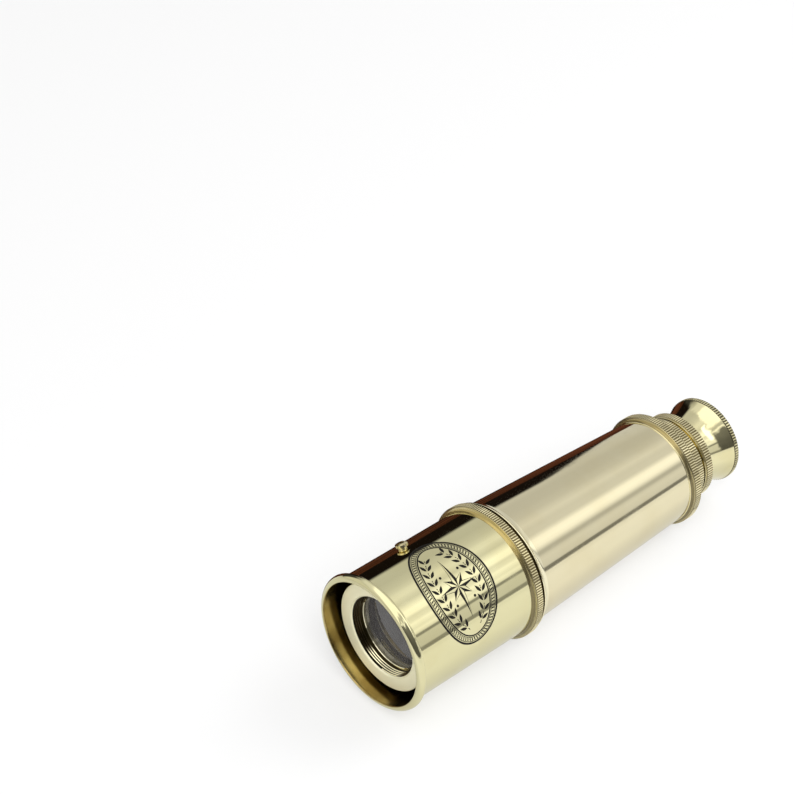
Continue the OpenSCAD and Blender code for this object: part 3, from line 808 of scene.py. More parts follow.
@cache
def row_tree() -> ShapeTree:
    """Builds the tree that sets copies of a flat mark evenly along part of an ellipse.

    Returns:
        The tree, with inputs for the number of marks, the ellipse and the part of it that is used.
    """
    shape = ShapeTree("marks along an ellipse", {
        "Marks": "NodeSocketInt", "Half Length": "NodeSocketFloat", "Half Width": "NodeSocketFloat",
        "First": "NodeSocketFloat", "Last": "NodeSocketFloat",
    })
    board = shape.board
    ring = board.add("GeometryNodeCurvePrimitiveCircle", {"Resolution": 240, "Radius": 1.0})
    from_end = board.add("GeometryNodeTransform", {
        "Geometry": ring.outputs[0], "Rotation": (0.0, 0.0, -math.pi / 2),
    })
    size = board.add("ShaderNodeCombineXYZ", {
        0: shape.value("Half Length"), 1: shape.value("Half Width"), 2: 1.0,
    })
    oval = board.add("GeometryNodeTransform", {"Geometry": from_end.outputs[0], "Scale": size.outputs[0]})
    part = board.add("GeometryNodeTrimCurve", {"Curve": oval.outputs[0]})
    used = [socket for socket in part.inputs if socket.enabled and socket.type == "VALUE"]
    for socket, name in zip(used, ("First", "Last")):
        board.feed(socket, shape.value(name))
    spaced = board.add("GeometryNodeResampleCurve", {"Curve": part.outputs[0], "Count": shape.value("Marks")})
    along = board.add("GeometryNodeInputTangent").outputs[0]
    turn = board.add("FunctionNodeAlignRotationToVector", {"Vector": along}, axis="X", pivot_axis="Z")
    copies = board.add("GeometryNodeInstanceOnPoints", {
        "Points": spaced.outputs[0], "Instance": shape.value("Geometry"), "Rotation": turn.outputs[0],
    })
    shape.end(copies.outputs[0])
    return shape


@cache
def wrap_tree() -> ShapeTree:
    """Builds the tree that wraps a flat drawing on a tube.

    Returns:
        The tree, with inputs for the drawing's place and the tube's radius.
    """
    shape = ShapeTree("drawing wrapped on a tube", {
        "Tube Radius": "NodeSocketFloat", "Direction": "NodeSocketFloat", "Station": "NodeSocketFloat",
        "Axis Height": "NodeSocketFloat",
    })
    board = shape.board
    parts = board.add("ShaderNodeSeparateXYZ", {0: board.add("GeometryNodeInputPosition").outputs[0]}).outputs
    turn = board.math("DIVIDE", parts[1], shape.value("Tube Radius"))
    angle = board.math("ADD", shape.value("Direction"), turn)
    radius = board.math("ADD", shape.value("Tube Radius"), parts[2])
    side, up = (board.math("MULTIPLY", radius, board.math(step, angle)) for step in ("SINE", "COSINE"))
    wrapped = board.add("ShaderNodeCombineXYZ", {
        0: board.math("ADD", shape.value("Station"), parts[0]), 1: board.math("MULTIPLY", side, -1.0),
        2: board.math("ADD", shape.value("Axis Height"), up),
    }).outputs[0]
    moved = board.add("GeometryNodeSetPosition", {"Geometry": shape.value("Geometry"), "Position": wrapped})
    shape.end(moved.outputs[0])
    return shape


def mount(
    piece: Object, body: Body, finish: Finish | None, nodes: Sequence[str] = (),
) -> Object:
    """Dresses a piece, sets it on its body and lets it stand for CAD nodes.

    Args:
        piece: The piece.
        body: The body that carries it.
        finish: The finish, or None where the piece has one.
        nodes: The CAD nodes that it replaces.

    Returns:
        The piece.
    """
    if finish:
        piece.data.materials.clear()
        piece.data.materials.append(finish.material())
    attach(piece, body.value)
    if nodes:
        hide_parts(*nodes)
    tris = sum(len(p.vertices) - 2 for p in piece.data.polygons)
    LOG.info("%s rides on %s with %d triangles", piece.name, body.value, tris)
    return piece


@dataclass
class KnurledBand:
    """The sizes of a straight knurl, in millimetres.

    Attributes:
        tip: Radius over the ridges.
        start: Station of its front edge.
        end: Station of its rear edge.
        pitch: Distance between ridges.
        height: Height of a ridge.
        bevel: Width of the bevels at its ends.
    """

    tip: float
    start: float
    end: float
    pitch: float = 0.8
    height: float = 0.18
    bevel: float = 0.3

    @property
    def ridges(self) -> int:
        """Number of ridges round the band."""
        return 4 * round(math.pi * self.tip / (2 * self.pitch))

    def profile(self) -> list[Point]:
        """Gives the outside of the band, from front to rear.

        Returns:
            Its stations and radii.
        """
        low, root = self.tip - self.bevel, self.tip - self.height
        run = self.bevel - self.height
        rise = [(self.start, low), (self.start + run, root), (self.start + self.bevel, self.tip)]
        fall = [(self.end - self.bevel, self.tip), (self.end - run, root), (self.end, low)]
        return rise + fall

    def brass(self, name: str, corner: Point | None = None, deep: Colour = BrassFinish.deep) -> BrassFinish:
        """Gives the brass of a knurled collar, darker between its ridges.

        Args:
            name: Name of the finish.
            corner: Stations of the collar's hollow, where it has one.
            deep: Colour of that hollow, partly patina and partly painted shade.

        Returns:
            The finish.
        """
        clean, aged, groove_colour = (0.80, 0.73, 0.46), (0.72, 0.63, 0.35), (0.13, 0.095, 0.035)
        return BrassFinish(
            name, clean, aged, 0.10, Grain.TURNED, 6e-7, groove=(self.tip - self.height, self.tip),
            groove_colour=groove_colour, corner=corner, deep=deep,
        )

    def press(self, piece: Object, finish: BrassFinish) -> Object:
        """Presses the ridges into a blank that was turned with four facets to a ridge.

        Args:
            piece: The blank.
            finish: Its finish.

        Returns:
            The knurled piece.
        """
        return knurl_tree().run(piece, {
            "Ridges": float(self.ridges), "Tip Radius": self.tip * MM, "Ridge Height": self.height * MM,
            "Axis Height": AXIS.height, "Start": AXIS.x(self.start) - 1e-6, "End": AXIS.x(self.end) + 1e-6,
            "Finish": finish.material(),
        })


@dataclass
class Sunshade:
    """The sliding sunshade with its rolled lip and knurled collar, in millimetres."""

    outer: float = 19.7
    inner: float = 19.1
    end: float = 47.3
    lip_r: float = 21.1
    front_r: float = 1.8
    back_r: float = 0.5
    edge_r: float = 0.4
    foot: float = 19.72
    cove_start: float = 43.75
    cove_r: float = 1.0
    hollow_lead: float = 0.5

    def tube(self) -> Object:
        """Builds the tube with its rolled lip.

        Returns:
            The tube.
        """
        back = self.lip_r - self.back_r
        flare = back - self.outer
        profile = arc((self.front_r + self.back_r + flare, back), flare, 270, 180, 14)
        profile += arc((self.front_r, back), self.back_r, 0, 90, 10)[1:]
        profile += arc((self.front_r, self.lip_r - self.front_r), self.front_r, 90, 180, 28)[1:]
        profile += arc((self.edge_r, self.inner + self.edge_r), self.edge_r, 180, 270, 4)
        profile += [(self.end, self.inner), (self.end, self.outer)]
        return turned("sunshade_tube_polished", held(profile, 0.08), 256)

    def collar(self) -> Object:
        """Builds the knurled collar behind the tube.

        Returns:
            The collar.
        """
        band = KnurledBand(21.2, self.cove_start + self.cove_r, self.end)
        profile = arc((self.cove_start, self.foot + self.cove_r), self.cove_r, 270, 360, 10)
        profile += band.profile() + [(self.end, self.foot)]
        blank = turned("sunshade_collar_knurled", held(profile), 4 * band.ridges)
        # The cove and a little of the tube before it are painted deeper gold, partly patina and partly shade
        # of the recess.
        hollow = (self.cove_start - self.hollow_lead, self.cove_start + self.cove_r)
        return band.press(blank, band.brass("sunshade collar brass", hollow))

    def build(self) -> None:
        """Builds and mounts the pieces."""
        mount(self.tube(), Body.SUNSHADE, SHADE_BRASS, ["sunshade_tube"])
        mount(self.collar(), Body.SUNSHADE, None, ["sunshade_collar"])


@dataclass
class Barrel:
    """The tapered barrel with its front ring and knurled rear collar, in millimetres."""

    front: Point = (51.05, 19.3)
    rear: Point = (114.0, 16.65)
    wall: float = 0.8
    step: Point = (116.75, 16.35)
    ring_start: float = 48.25
    ring_edge: float = 48.55
    ring_r: float = 20.65
    ring_bore: float = 15.92
    spigot_end: float = 57.05
    spigot_wall: float = 1.2
    bevel: float = 0.15
    cove_r: float = 0.8
    collar_r: float = 17.95
    collar_edge: Point = (114.35, 16.85)
    collar_end: float = 117.95
    web_bore: float = 13.35
    clearance: float = 0.02
    hollow_gap: float = 0.2

    def inner_at(self, station: float) -> float:
        """Gives the barrel's inner radius at a station."""
        share = (station - self.front[0]) / (self.rear[0] - self.front[0])
        return self.front[1] + (self.rear[1] - self.front[1]) * share - self.wall

    def tube(self) -> Object:
        """Builds the tapered tube.

        Returns:
            The tube.
        """
        front, rear, step, bore = self.front, self.rear, self.step, self.inner_at(self.rear[0])
        profile = [front, rear, (rear[0], step[1]), step]
        profile += [(step[0], bore), (rear[0], bore), (front[0], front[1] - self.wall)]
        return turned("barrel_tube_polished", held(profile), 256)

    def front_ring(self) -> Object:
        """Builds the plain ring in front of the barrel.

        Returns:
            The ring, with the spigot that holds the barrel.
        """
        b, run, rise = self.bevel, self.front[0] - self.ring_edge, self.ring_r - self.front[1]
        hollow = (run * run + rise * rise) / (2 * rise)
        profile = arc((self.ring_start + b, self.ring_r - b), b, 180, 90, 5)
        start = 270 - math.degrees(math.asin(run / hollow))
        profile += arc((self.front[0], self.front[1] + hollow), hollow, start, 270, 14)
        seat = self.inner_at(self.front[0])
        profile += [(self.front[0], seat), (self.spigot_end, self.inner_at(self.spigot_end))]
        profile += [(s, seat - self.spigot_wall) for s in (self.spigot_end, self.front[0])]
        profile += [(self.front[0], self.ring_bore), (self.ring_start, self.ring_bore)]
        return turned("barrel_front_ring_polished", held(profile), 256)

    def rear_collar(self) -> Object:
        """Builds the knurled collar behind the barrel.

        Returns:
            The collar.
        """
        edge, edge_r = self.collar_edge
        band = KnurledBand(self.collar_r, edge + self.cove_r, self.collar_end)
        b, web, seat = self.bevel, self.step[0], self.step[1] + self.clearance
        profile = arc((self.rear[0] + b, edge_r - b), b, 180, 90, 4)
        profile += arc((edge, edge_r + self.cove_r), self.cove_r, 270, 360, 12)
        profile += band.profile()[1:] + [(self.collar_end, self.web_bore), (web, self.web_bore)]
        profile += [(web, seat), (self.rear[0], seat)]
        blank = turned("barrel_rear_collar_knurled", held(profile), 4 * band.ridges)
        # The cove is painted deeper gold, partly patina and partly shade of the recess.
        hollow = (self.rear[0] + self.hollow_gap, edge + self.cove_r)
        return band.press(blank, band.brass("rear collar brass", hollow, (0.33, 0.25, 0.08)))

    def build(self) -> None:
        """Builds and mounts the pieces."""
        mount(self.tube(), Body.BARREL, BARREL_BRASS, ["barrel_tube"])
        mount(self.front_ring(), Body.BARREL, PALE_RING, ["barrel_front_ring"])
        mount(self.rear_collar(), Body.BARREL, None, ["barrel_rear_collar"])


@dataclass
class Objective:
    """The objective cell with its thread, retaining ring and front lens, in millimetres."""

    face: float = 4.6
    flange_r: float = 16.75
    flange_end: float = 7.0
    shank_r: float = 15.38
    shank_end: float = 15.0
    open_bore: float = 12.38
    mouth: float = 0.5
    seat_bore: float = 12.28
    hold_bore: float = 11.48
    ring_start: float = 8.2
    ring_end: float = 9.2
    lens_r: float = 12.26
    crown_front: float = 8.65
    crown_rear: float = 11.85
    front_sphere: float = 120.0
    rear_sphere: float = 90.0
    seat_end: float = 13.27
    thread_pitch: float = 0.74
    thread_depth: float = 0.2
    thread_lead: float = 0.15
    thread_rest: float = 0.2
    clearance: float = 0.02
    cell_bevel: float = 0.2
    ring_bevel: float = 0.15

    def cell(self) -> Object:
        """Builds the cell with its broad face.

        Returns:
            The cell.
        """
        b = self.cell_bevel
        profile = [(self.shank_end, self.hold_bore), (self.seat_end, self.hold_bore)]
        profile += [(self.seat_end, self.seat_bore), (self.ring_start, self.seat_bore)]
        profile += [(self.ring_start, self.open_bore)]
        profile += [(self.face + self.mouth, self.open_bore), (self.face, self.open_bore + self.mouth)]
        profile += arc((self.face + b, self.flange_r - b), b, 180, 90, 5)
        profile += [(self.flange_end, self.flange_r), (self.flange_end, self.shank_r)]
        profile += [(self.shank_end, self.shank_r)]
        return turned("objective_cell_faced", held(profile, 0.06), 256)

    def retaining_ring(self) -> Object:
        """Builds the ring that holds the glass.

        Returns:
            The ring.
        """
        front, rear, b = self.ring_start, self.ring_end, self.ring_bevel
        low, high = self.hold_bore, self.seat_bore - self.clearance
        profile = [(front, low + b), (front, high), (rear, high), (rear, low), (front + b, low)]
        return turned("objective_retaining_ring_turned", held(profile, 0.05), 192)

    def thread(self) -> Object:
        """Winds the thread in the open bore of the cell.

        Returns:
            The thread.
        """
        piece = finished_mesh("objective_cell_thread", bpy.data.meshes.new("objective_cell_thread"))
        start = self.face + self.mouth + self.thread_lead
        turns = (self.ring_start - self.thread_rest - start) / self.thread_pitch
        return thread_tree().run(piece, {
            "Thread Radius": (self.open_bore + self.clearance) * MM, "Thread Depth": self.thread_depth * MM,
            "Pitch": self.thread_pitch * MM, "Turns": turns, "Start": AXIS.point(start, 0.0, 0.0),
            "Finish": THREAD_BRASS.material(),
        }, 35.0)

    def crown_lens(self) -> Object:
        """Builds the front lens.

        Returns:
            The lens.
        """
        radii = [self.lens_r * i / 24 for i in range(25)]
        profile = [(self.crown_front + bow(self.front_sphere, r), r) for r in radii]
        profile += [(self.crown_rear - bow(self.rear_sphere, r), r) for r in reversed(radii)]
        return turned("objective_crown_lens_ground", profile, 192)

    def build(self) -> None:
        """Builds and mounts the pieces."""
        mount(self.cell(), Body.BARREL, CELL_FACE, ["objective_cell"])
        mount(self.retaining_ring(), Body.BARREL, PALE_RING, ["objective_retaining_ring"])
        mount(self.thread(), Body.BARREL, None)
        mount(self.crown_lens(), Body.BARREL, FRONT_GLASS, ["objective_crown_lens"])


@dataclass
class Draw:
    """One draw tube with its knurled collar, in millimetres."""

    name: str
    body: Body
    radius: float
    start: float
    end: float
    wall: float = 0.45
    collar_start: float = 0.0
    collar_end: float = 0.0
    collar_tip: float = 13.85
    bead: float = 0.0
    bead_drop: float = 0.2
    web: float = 1.2
    web_bore: float = 0.0
    bevel: float = 0.08
    clearance: float = 0.02

    def tube(self) -> Object:
        """Builds the thin tube.

        Returns:
            The tube.
        """
        low, high, b = self.radius - self.wall, self.radius, self.bevel
        profile = [(self.start, low), (self.start, high - b), (self.start + b, high)]
        profile += [(self.end, high), (self.end, low)]
        return turned(f"{self.name}_tube_polished", held(profile), 224)

    def collar(self) -> Object:
        """Builds the knurled collar on the tube's eye end.

        Returns:
            The collar.
        """
        band = KnurledBand(self.collar_tip, self.collar_start + self.bead, self.collar_end)
        foot = self.radius + self.clearance
        profile: list[Point] = [(self.collar_start, foot)]
        if self.bead:
            half, top = self.bead / 2, self.collar_tip - self.bead_drop
            profile += arc((self.collar_start + half, top - half), half, 180, 0, 10)
        profile += band.profile() if not self.bead else band.profile()[1:]
        profile += [(self.collar_end, self.web_bore), (self.collar_end - self.web, self.web_bore)]
        profile += [(self.collar_end - self.web, foot)]
        blank = turned(f"{self.name}_collar_knurled", held(profile), 4 * band.ridges)
        return band.press(blank, band.brass("draw collar brass"))

    def build(self) -> None:
        """Builds and mounts the pieces."""
        mount(self.tube(), self.body, DRAW_BRASS, [f"{self.name}_tube"])
        if self.collar_end:
            mount(self.collar(), self.body, None, [f"{self.name}_collar"])


@dataclass
class Eyecup:
    """The flared eyecup with its finely knurled rim and polished bowl, in millimetres."""

    neck_r: float = 11.45
    neck_start: float = 128.2
    flare_start: float = 128.95
    flare_r: float = 22.86
    flare_top: float = 34.31
    rim_start: float = 138.3
    rim_end: float = 140.0
    rim_r: float = 13.65
    rim_pitch: float = 0.86
    rim_bevel: float = 0.2
    bowl_centre: float = 144.27
    bowl_r: float = 13.446
    hole_r: float = 4.5
    floor: float = 131.6
    wall: float = 129.6
    shank_r: float = 10.63
    shank_bore: float = 9.58
    shank_start: float = 121.2
    bevel: float = 0.15

    def build(self) -> None:
        """Builds and mounts the eyecup."""
        band = KnurledBand(self.rim_r, self.rim_start, self.rim_end, self.rim_pitch, bevel=self.rim_bevel)
        reach = math.degrees(math.asin((self.rim_start - self.flare_start) / self.flare_r))
        b = self.bevel
        profile = [(self.shank_start, self.shank_bore), (self.shank_start, self.shank_r)]
        profile += [(self.neck_start, self.shank_r)]
        profile += arc((self.neck_start + b, self.neck_r - b), b, 180, 90, 4)
        profile += arc((self.flare_start, self.flare_top), self.flare_r, 270, 270 + reach, 28)
        profile += band.profile()[1:]
        down = math.degrees(math.acos((self.rim_end - self.bowl_centre) / self.bowl_r))
        deep = math.degrees(math.acos((self.floor - self.bowl_centre) / self.bowl_r))
        profile += arc((self.bowl_centre, 0.0), self.bowl_r, down, deep, 30)
        profile += [(self.wall, self.hole_r), (self.wall, self.shank_bore)]
        blank = turned("eyecup_knurled", held(profile), 4 * band.ridges)
        mount(band.press(blank, EYECUP_BRASS), Body.THIRD_DRAW, None, ["eyecup"])


@dataclass
class Medallion:
    """An engraved medallion on the sunshade, filled with black: a star in a wreath in a hatched oval.

    Attributes:
        station: Station of its centre, in millimetres.
        direction: Direction of its centre round the axis, in degrees from the top.
        tube_r: Radius of the tube that carries it, in millimetres.
        half_length: Half its size along the tube, in millimetres.
        half_width: Half its size round the tube, in millimetres.
        thick: Thickness of the filler, in millimetres.
        sunk: How far the filler reaches under the surface, in millimetres.
        strip: Widest flat strip that is bent round the tube, in millimetres.
        border: Inset and width of each line round the edge, in millimetres.
        star_points: Reach of the star's points, in turn, in millimetres.
        star_waist: Reach of the star between its points, in millimetres.
        leaf: Outline of a leaf from its foot, in millimetres.
        leaf_turn: Angle between a leaf and its stem, in radians.
        leaf_gap: Distance of a leaf's foot from the middle of the stem, in millimetres.
        stem: Half the stem's length and half its width, in millimetres.
        leaf_pairs: Number of pairs on each side of the wreath.
        wreath_inset: Distance of the wreath inside the edge, in millimetres.
        wreath_part: Start and end of one side of the wreath, as shares of the oval.
        hatch: Outline of a slanting stroke of the border, in millimetres.
        hatches: Number of strokes.
        hatch_inset: Distance of their middles inside the edge, in millimetres.
        dot_r: Radius of a dot between the star's points, in millimetres.
        dot_oval: Half length and half width of the oval that the dots lie on, in millimetres.
    """

    station: float = 22.55
    direction: float = 35.5
    tube_r: float = 19.7
    half_length: float = 11.2
    half_width: float = 17.5
    thick: float = 0.03
    sunk: float = 0.01
    strip: float = 0.75
    border: tuple[Point, ...] = ((0.3, 0.6), (0.88, 0.2), (2.2, 0.2), (2.68, 0.42))
    star_points: tuple[float, ...] = (6.3, 4.5, 9.4, 4.5)
    star_waist: float = 2.3
    leaf: tuple[Point, ...] = (
        (0.0, 0.0), (0.5, 0.36), (1.2, 0.5), (1.9, 0.32), (2.6, 0.0), (1.9, -0.3), (1.2, -0.42), (0.5, -0.3),
    )
    leaf_turn: float = 0.66
    leaf_gap: float = 0.16
    stem: Point = (1.2, 0.12)
    leaf_pairs: int = 10
    wreath_inset: float = 4.9
    wreath_part: Point = (0.05, 0.43)
    hatch: tuple[Point, ...] = ((-0.38, -0.46), (-0.02, -0.46), (0.38, 0.46), (0.02, 0.46))
    hatches: int = 92
    hatch_inset: float = 1.54
    dot_r: float = 0.42
    dot_oval: Point = (4.1, 7.4)

    def band(self, inset: float, width: float, steps: int = 144) -> list[list[Point]]:
        """Gives an oval line as short four-sided plates.

        Args:
            inset: Distance of its middle inside the medallion's edge.
            width: Width of the line.
            steps: Number of plates.

        Returns:
            The plates' corners.
        """
        a, b = self.half_length - inset, self.half_width - inset
        turns = [2 * math.pi * i / steps for i in range(steps + 1)]
        inner, outer = ([((a + side) * math.cos(t), (b + side) * math.sin(t)) for t in turns]
                        for side in (-width / 2, width / 2))
        return [[inner[i], outer[i], outer[i + 1], inner[i + 1]] for i in range(steps)]

    def star(self) -> list[list[Point]]:
        """Gives an eight-pointed compass star: each point has one dark half and one outlined half.

        Returns:
            The plates' corners.
        """
        plates: list[list[Point]] = []
        for i in range(8):
            turn = math.pi * i / 4
            tip = Vector((math.cos(turn), math.sin(turn))) * self.star_points[i % 4]
            sides = (turn + math.pi / 8, turn - math.pi / 8)
            dark, light = (Vector((math.cos(t), math.sin(t))) * self.star_waist for t in sides)
            plates.append([(0.0, 0.0), tuple(tip), tuple(dark)])
            inner = light * 0.86
            plates.append([tuple(inner), tuple(light), tuple(tip), tuple(tip.lerp(inner, 0.12))])
        return plates

    def leaves(self) -> list[list[Point]]:
        """Gives a pair of leaves on a short stem that points along the row.

        Returns:
            The plates' corners.
        """
        long, wide = self.stem
        c, s = math.cos(self.leaf_turn), math.sin(self.leaf_turn)
        plates: list[list[Point]] = [[(-long, -wide), (long, -wide), (long, wide), (-long, wide)]]
        for side in (1, -1):
            plates.append([(x * c - y * s, side * (self.leaf_gap + x * s + y * c)) for x, y in self.leaf])
        return plates

    def dot(self, radius: float, steps: int = 12) -> list[list[Point]]:
        """Gives a round dot."""
        turns = [2 * math.pi * i / steps for i in range(steps)]
        return [[(radius * math.cos(t), radius * math.sin(t)) for t in turns]]

    def plates(self, name: str, outlines: Sequence[Sequence[Point]]) -> Object:
        """Makes flat outlines thin closed solids, cut in strips narrow enough to bend round the tube.

        Args:
            name: Name of the piece.
            outlines: Flat shapes that share their corners where they touch.

        Returns:
            The piece, still flat.
        """
        work = bmesh.new()
        for outline in outlines:
            work.faces.new([work.verts.new((x * MM, y * MM, 0.0)) for x, y in outline])
        bmesh.ops.remove_doubles(work, verts=work.verts, dist=1e-8)
        count = int(max(abs(v.co.y) for v in work.verts) / (self.strip * MM)) + 1
        for k in range(-count, count + 1):
            parts, cut = work.verts[:] + work.edges[:] + work.faces[:], (0, k * self.strip * MM, 0)
            bmesh.ops.bisect_plane(work, geom=parts, dist=1e-9, plane_co=cut, plane_no=(0, 1, 0))
        raised = bmesh.ops.extrude_face_region(work, geom=work.faces[:])["geom"]
        for v in (g for g in raised if isinstance(g, bmesh.types.BMVert)):
            v.co.z = self.thick * MM
        for v in work.verts:
            v.co.z -= self.sunk * MM
        return finished_mesh(name, ordered_mesh(name, work))

    def place(self, piece: Object) -> None:
        """Wraps a flat piece on the tube and mounts it.

        Args:
            piece: The piece.
        """
        wrap_tree().run(piece, {
            "Tube Radius": self.tube_r * MM, "Direction": math.radians(self.direction),
            "Station": AXIS.x(self.station), "Axis Height": AXIS.height, "Finish": FILLER.material(),
        })
        mount(piece, Body.SUNSHADE, None)

    def build(self) -> None:
        """Builds and mounts the medallion's pieces."""
        lines = [plate for inset, width in self.border for plate in self.band(inset, width)]
        self.place(self.plates("medallion_lines", lines))
        self.place(self.plates("medallion_star", self.star()))
        a, b = self.half_length, self.half_width
        near, far = self.hatch_inset, self.wreath_inset
        leaves, pairs, share = self.leaves(), self.leaf_pairs, (self.hatches - 1) / self.hatches
        series = {
            "medallion_hatching": ([self.hatch], self.hatches, a - near, b - near, 0.0, share),
            "medallion_wreath_front": (leaves, pairs, far - a, far - b, *self.wreath_part),
            "medallion_wreath_rear": (leaves, pairs, a - far, far - b, *self.wreath_part),
            "medallion_dots": (self.dot(self.dot_r), 4, *self.dot_oval, 1 / 8, 7 / 8),
        }
        for name, (outlines, count, long, wide, first, last) in series.items():
            piece = self.plates(name, outlines)
            row_tree().run(piece, {
                "Marks": count, "Half Length": long * MM, "Half Width": wide * MM,
                "First": first, "Last": last, "Finish": FILLER.material(),
            })
            self.place(piece)


class Studio:
    """The pale floor, the dark flag behind the part, the soft light and the camera.

    The camera's place is in metres, its turn in unit vectors, the rests in millimetres. Each of the floor's
    painted shades gives two places across it, in metres, and the share of its light that a mirror misses at
    each: a painted shadow next to the part, and darker bands further off, which only mirrors see.
    Each sky gives degrees and light, from the horizon in front over the top to the horizon behind: one for
    mirrored rays that run across the part, one for those that turn along it, one for those further away.
    The dark room begins softly between two such degrees, and each drop moves it down over a range of turns.
    """

    eye = Vector((-0.36396254, -0.32455832, 0.43776552))
    right = Vector((0.7388044, -0.6737484, 0.015201))
    down = Vector((-0.3972443, -0.4536009, -0.7977739))
    ahead = Vector((0.5443941, 0.5833604, -0.6027651))
    lens = 98.87
    sensor = 36.0
    rest_front = 47.4
    rest_rear = 117.0
    rest_rise = 3.25
    seen_glow = 0.55
    mirrored_glow = 0.20
    fill_glow = 0.55
    painted_floor_shades = ((-0.045, -0.017, 0.0, 0.17), (-0.25, -0.08, 0.10, 0.0), (-0.60, -0.45, 0.45, 0.0))
    dark_room = (0.009, 0.006, 0.005)
    room_start = (146.0, 154.0)
    room_drops = ((0.55, 0.60, 2.5), (0.620, 0.637, 30.0))
    window_light = (2.3, 2.35, 2.4)
    front_light = (0.85, 0.84, 0.80)
    sky_across = (
        (0, 0.12), (12, 0.12), (24, 0.16), (46, 0.25), (50, 0.9), (53, 1.5), (57, 0.7), (64, 0.8), (70, 1.6),
        (118, 1.6), (126, 1.0), (140, 0.95), (150, 0.5), (158, 0.05), (180, 0.04),
    )
    sky_ahead = (
        (0, 0.36), (3.5, 0.38), (5, 0.80), (21, 0.86), (22.5, 0.36), (25.5, 0.36), (27.5, 1.1), (32, 1.35),
        (36, 1.2), (44, 1.45), (48, 1.2), (55, 1.1), (59, 1.5), (66, 1.55), (74, 1.2), (80, 0.92), (86, 1.0),
        (92, 1.12), (98, 1.08), (104, 0.92), (112, 0.80), (128, 0.70), (145, 0.72), (180, 0.72),
    )
    sky_away = (
        (0, 0.26), (4.3, 0.28), (6, 0.84), (20, 0.92), (25, 0.86), (30, 0.62), (34, 0.64), (38, 0.98),
        (43, 1.3), (50, 1.42), (57, 1.35), (61, 1.1), (66, 0.88), (78, 0.86), (88, 0.95), (96, 0.86),
        (104, 0.76), (120, 0.69), (136, 0.68), (150, 0.74), (180, 0.76),
    )

    def level(self, station: float) -> float:
        """Gives the floor's height in metres, which rises to the rear one of the rings the tube rests on."""
        share = (min(station, self.rest_rear) - self.rest_front) / (self.rest_rear - self.rest_front)
        return share * self.rest_rise * MM

    def sheet(
        self, name: str, stations: Sequence[float], sides: Point, lift: float, paint: Material,
    ) -> Object:
        """Lays a sheet that follows the floor.

        Args:
            name: Name of the sheet.
            stations: Stations of its edges and folds, in millimetres.
            sides: Its edges towards the camera and away from it, in metres.
            lift: Height over the floor, in metres.
            paint: Its material.

        Returns:
            The sheet.
        """
        mesh = bpy.data.meshes.new(name)
        points = [(AXIS.x(s), y, self.level(s) + lift) for s in stations for y in sides]
        faces = [(2 * i, 2 * i + 2, 2 * i + 3, 2 * i + 1) for i in range(len(stations) - 1)]
        mesh.from_pydata(points, [], faces)
        mesh.materials.append(paint)
        piece = bpy.data.objects.new(name, mesh)
        bpy.context.scene.collection.objects.link(piece)
        return piece

    def floor_paint(self) -> Material:
        """Makes the floor's white, which glows for the camera, mirrors and glass to keep shadows soft.

        Returns:
            The material.
        """
        made, board = new_material("floor white")
        path = board.add("ShaderNodeLightPath").outputs
        seen = board.math("MAXIMUM", path["Is Camera Ray"], path["Is Transmission Ray"])
        mirrored = board.math("MULTIPLY", path["Is Glossy Ray"], self.mirrored_glow)
        share = board.math("MAXIMUM", board.math("MULTIPLY", seen, self.seen_glow), mirrored)
        matt = board.add("ShaderNodeBsdfDiffuse", {"Color": (0.93, 0.93, 0.93)})
        glow = board.add("ShaderNodeEmission", {"Color": (1.0, 1.0, 1.0), "Strength": 1.0})
        mix = board.add("ShaderNodeMixShader", {0: share, 1: matt.outputs[0], 2: glow.outputs[0]})
        place = board.add("ShaderNodeTexCoord").outputs["Object"]
        side = board.add("ShaderNodeSeparateXYZ", {0: place}).outputs[1]
        # Mirrors see the floor darker next to the part, as a painted shadow, and in bands further off.
        painted_shadow: Any = 0.0
        for shade in self.painted_floor_shades:
            painted_shadow = board.math("ADD", board.span(side, *shade), painted_shadow)
        dark = board.add("ShaderNodeEmission", {"Color": (0.0, 0.0, 0.0), "Strength": 0.0})
        shaded = board.add("ShaderNodeMixShader", {
            0: board.math("MULTIPLY", painted_shadow, path["Is Glossy Ray"]), 1: mix.outputs[0], 2: dark.outputs[0],
        })
        board.add("ShaderNodeOutputMaterial", {0: shaded.outputs[0]})
        return made

    def flag_paint(self) -> Material:
        """Makes the flag's dark brown, which only mirrors see.

        Returns:
            The material.
        """
        made, board = new_material("flag brown")
        place = board.add("ShaderNodeTexCoord").outputs["Object"]
        cloud = board.noise(board.stretched(place, (6.0, 26.0, 1.0)), 1.0, 3.0, 0.6)
        colour = board.blend(board.span(cloud, 0.42, 0.58), (0.13, 0.042, 0.022), (0.014, 0.007, 0.004))
        glow = board.add("ShaderNodeEmission", {"Color": colour, "Strength": 1.0})
        board.add("ShaderNodeOutputMaterial", {0: glow.outputs[0]})
        return made

    def ground(self) -> None:
        """Lays the floor, and the dark flag behind the part that its polished brass mirrors."""
        edges = [-1400.0, -600.0, -200.0, 0.0, self.rest_rear, 400.0, 900.0, 1700.0]
        self.sheet("floor", edges, (-1.6, 1.6), 0.0, self.floor_paint())
        flag = self.sheet("flag", [10.0, self.rest_rear, 1700.0], (0.024, 1.59), 0.0012, self.flag_paint())
        flag.visible_camera = flag.visible_diffuse = flag.visible_transmission = flag.visible_shadow = False

    def surround(self) -> None:
        """Makes the world: white for the camera and glass, and a studio of soft boxes for the polished metal.

        How far over the part a mirrored ray points picks the light from a sky, and its turn along the
        part's length picks the sky.
        """
        world = bpy.data.worlds.new("studio")
        bpy.context.scene.world = world
        world.use_nodes = True
        board = Board(world.node_tree)
        way = board.add("ShaderNodeTexCoord").outputs["Generated"]
        parts = board.add("ShaderNodeSeparateXYZ", {0: way}).outputs
        over = board.math("ARCTAN2", parts[2], board.math("MULTIPLY", parts[1], -1.0))
        over = board.math("DIVIDE", board.math("ABSOLUTE", over), math.pi)
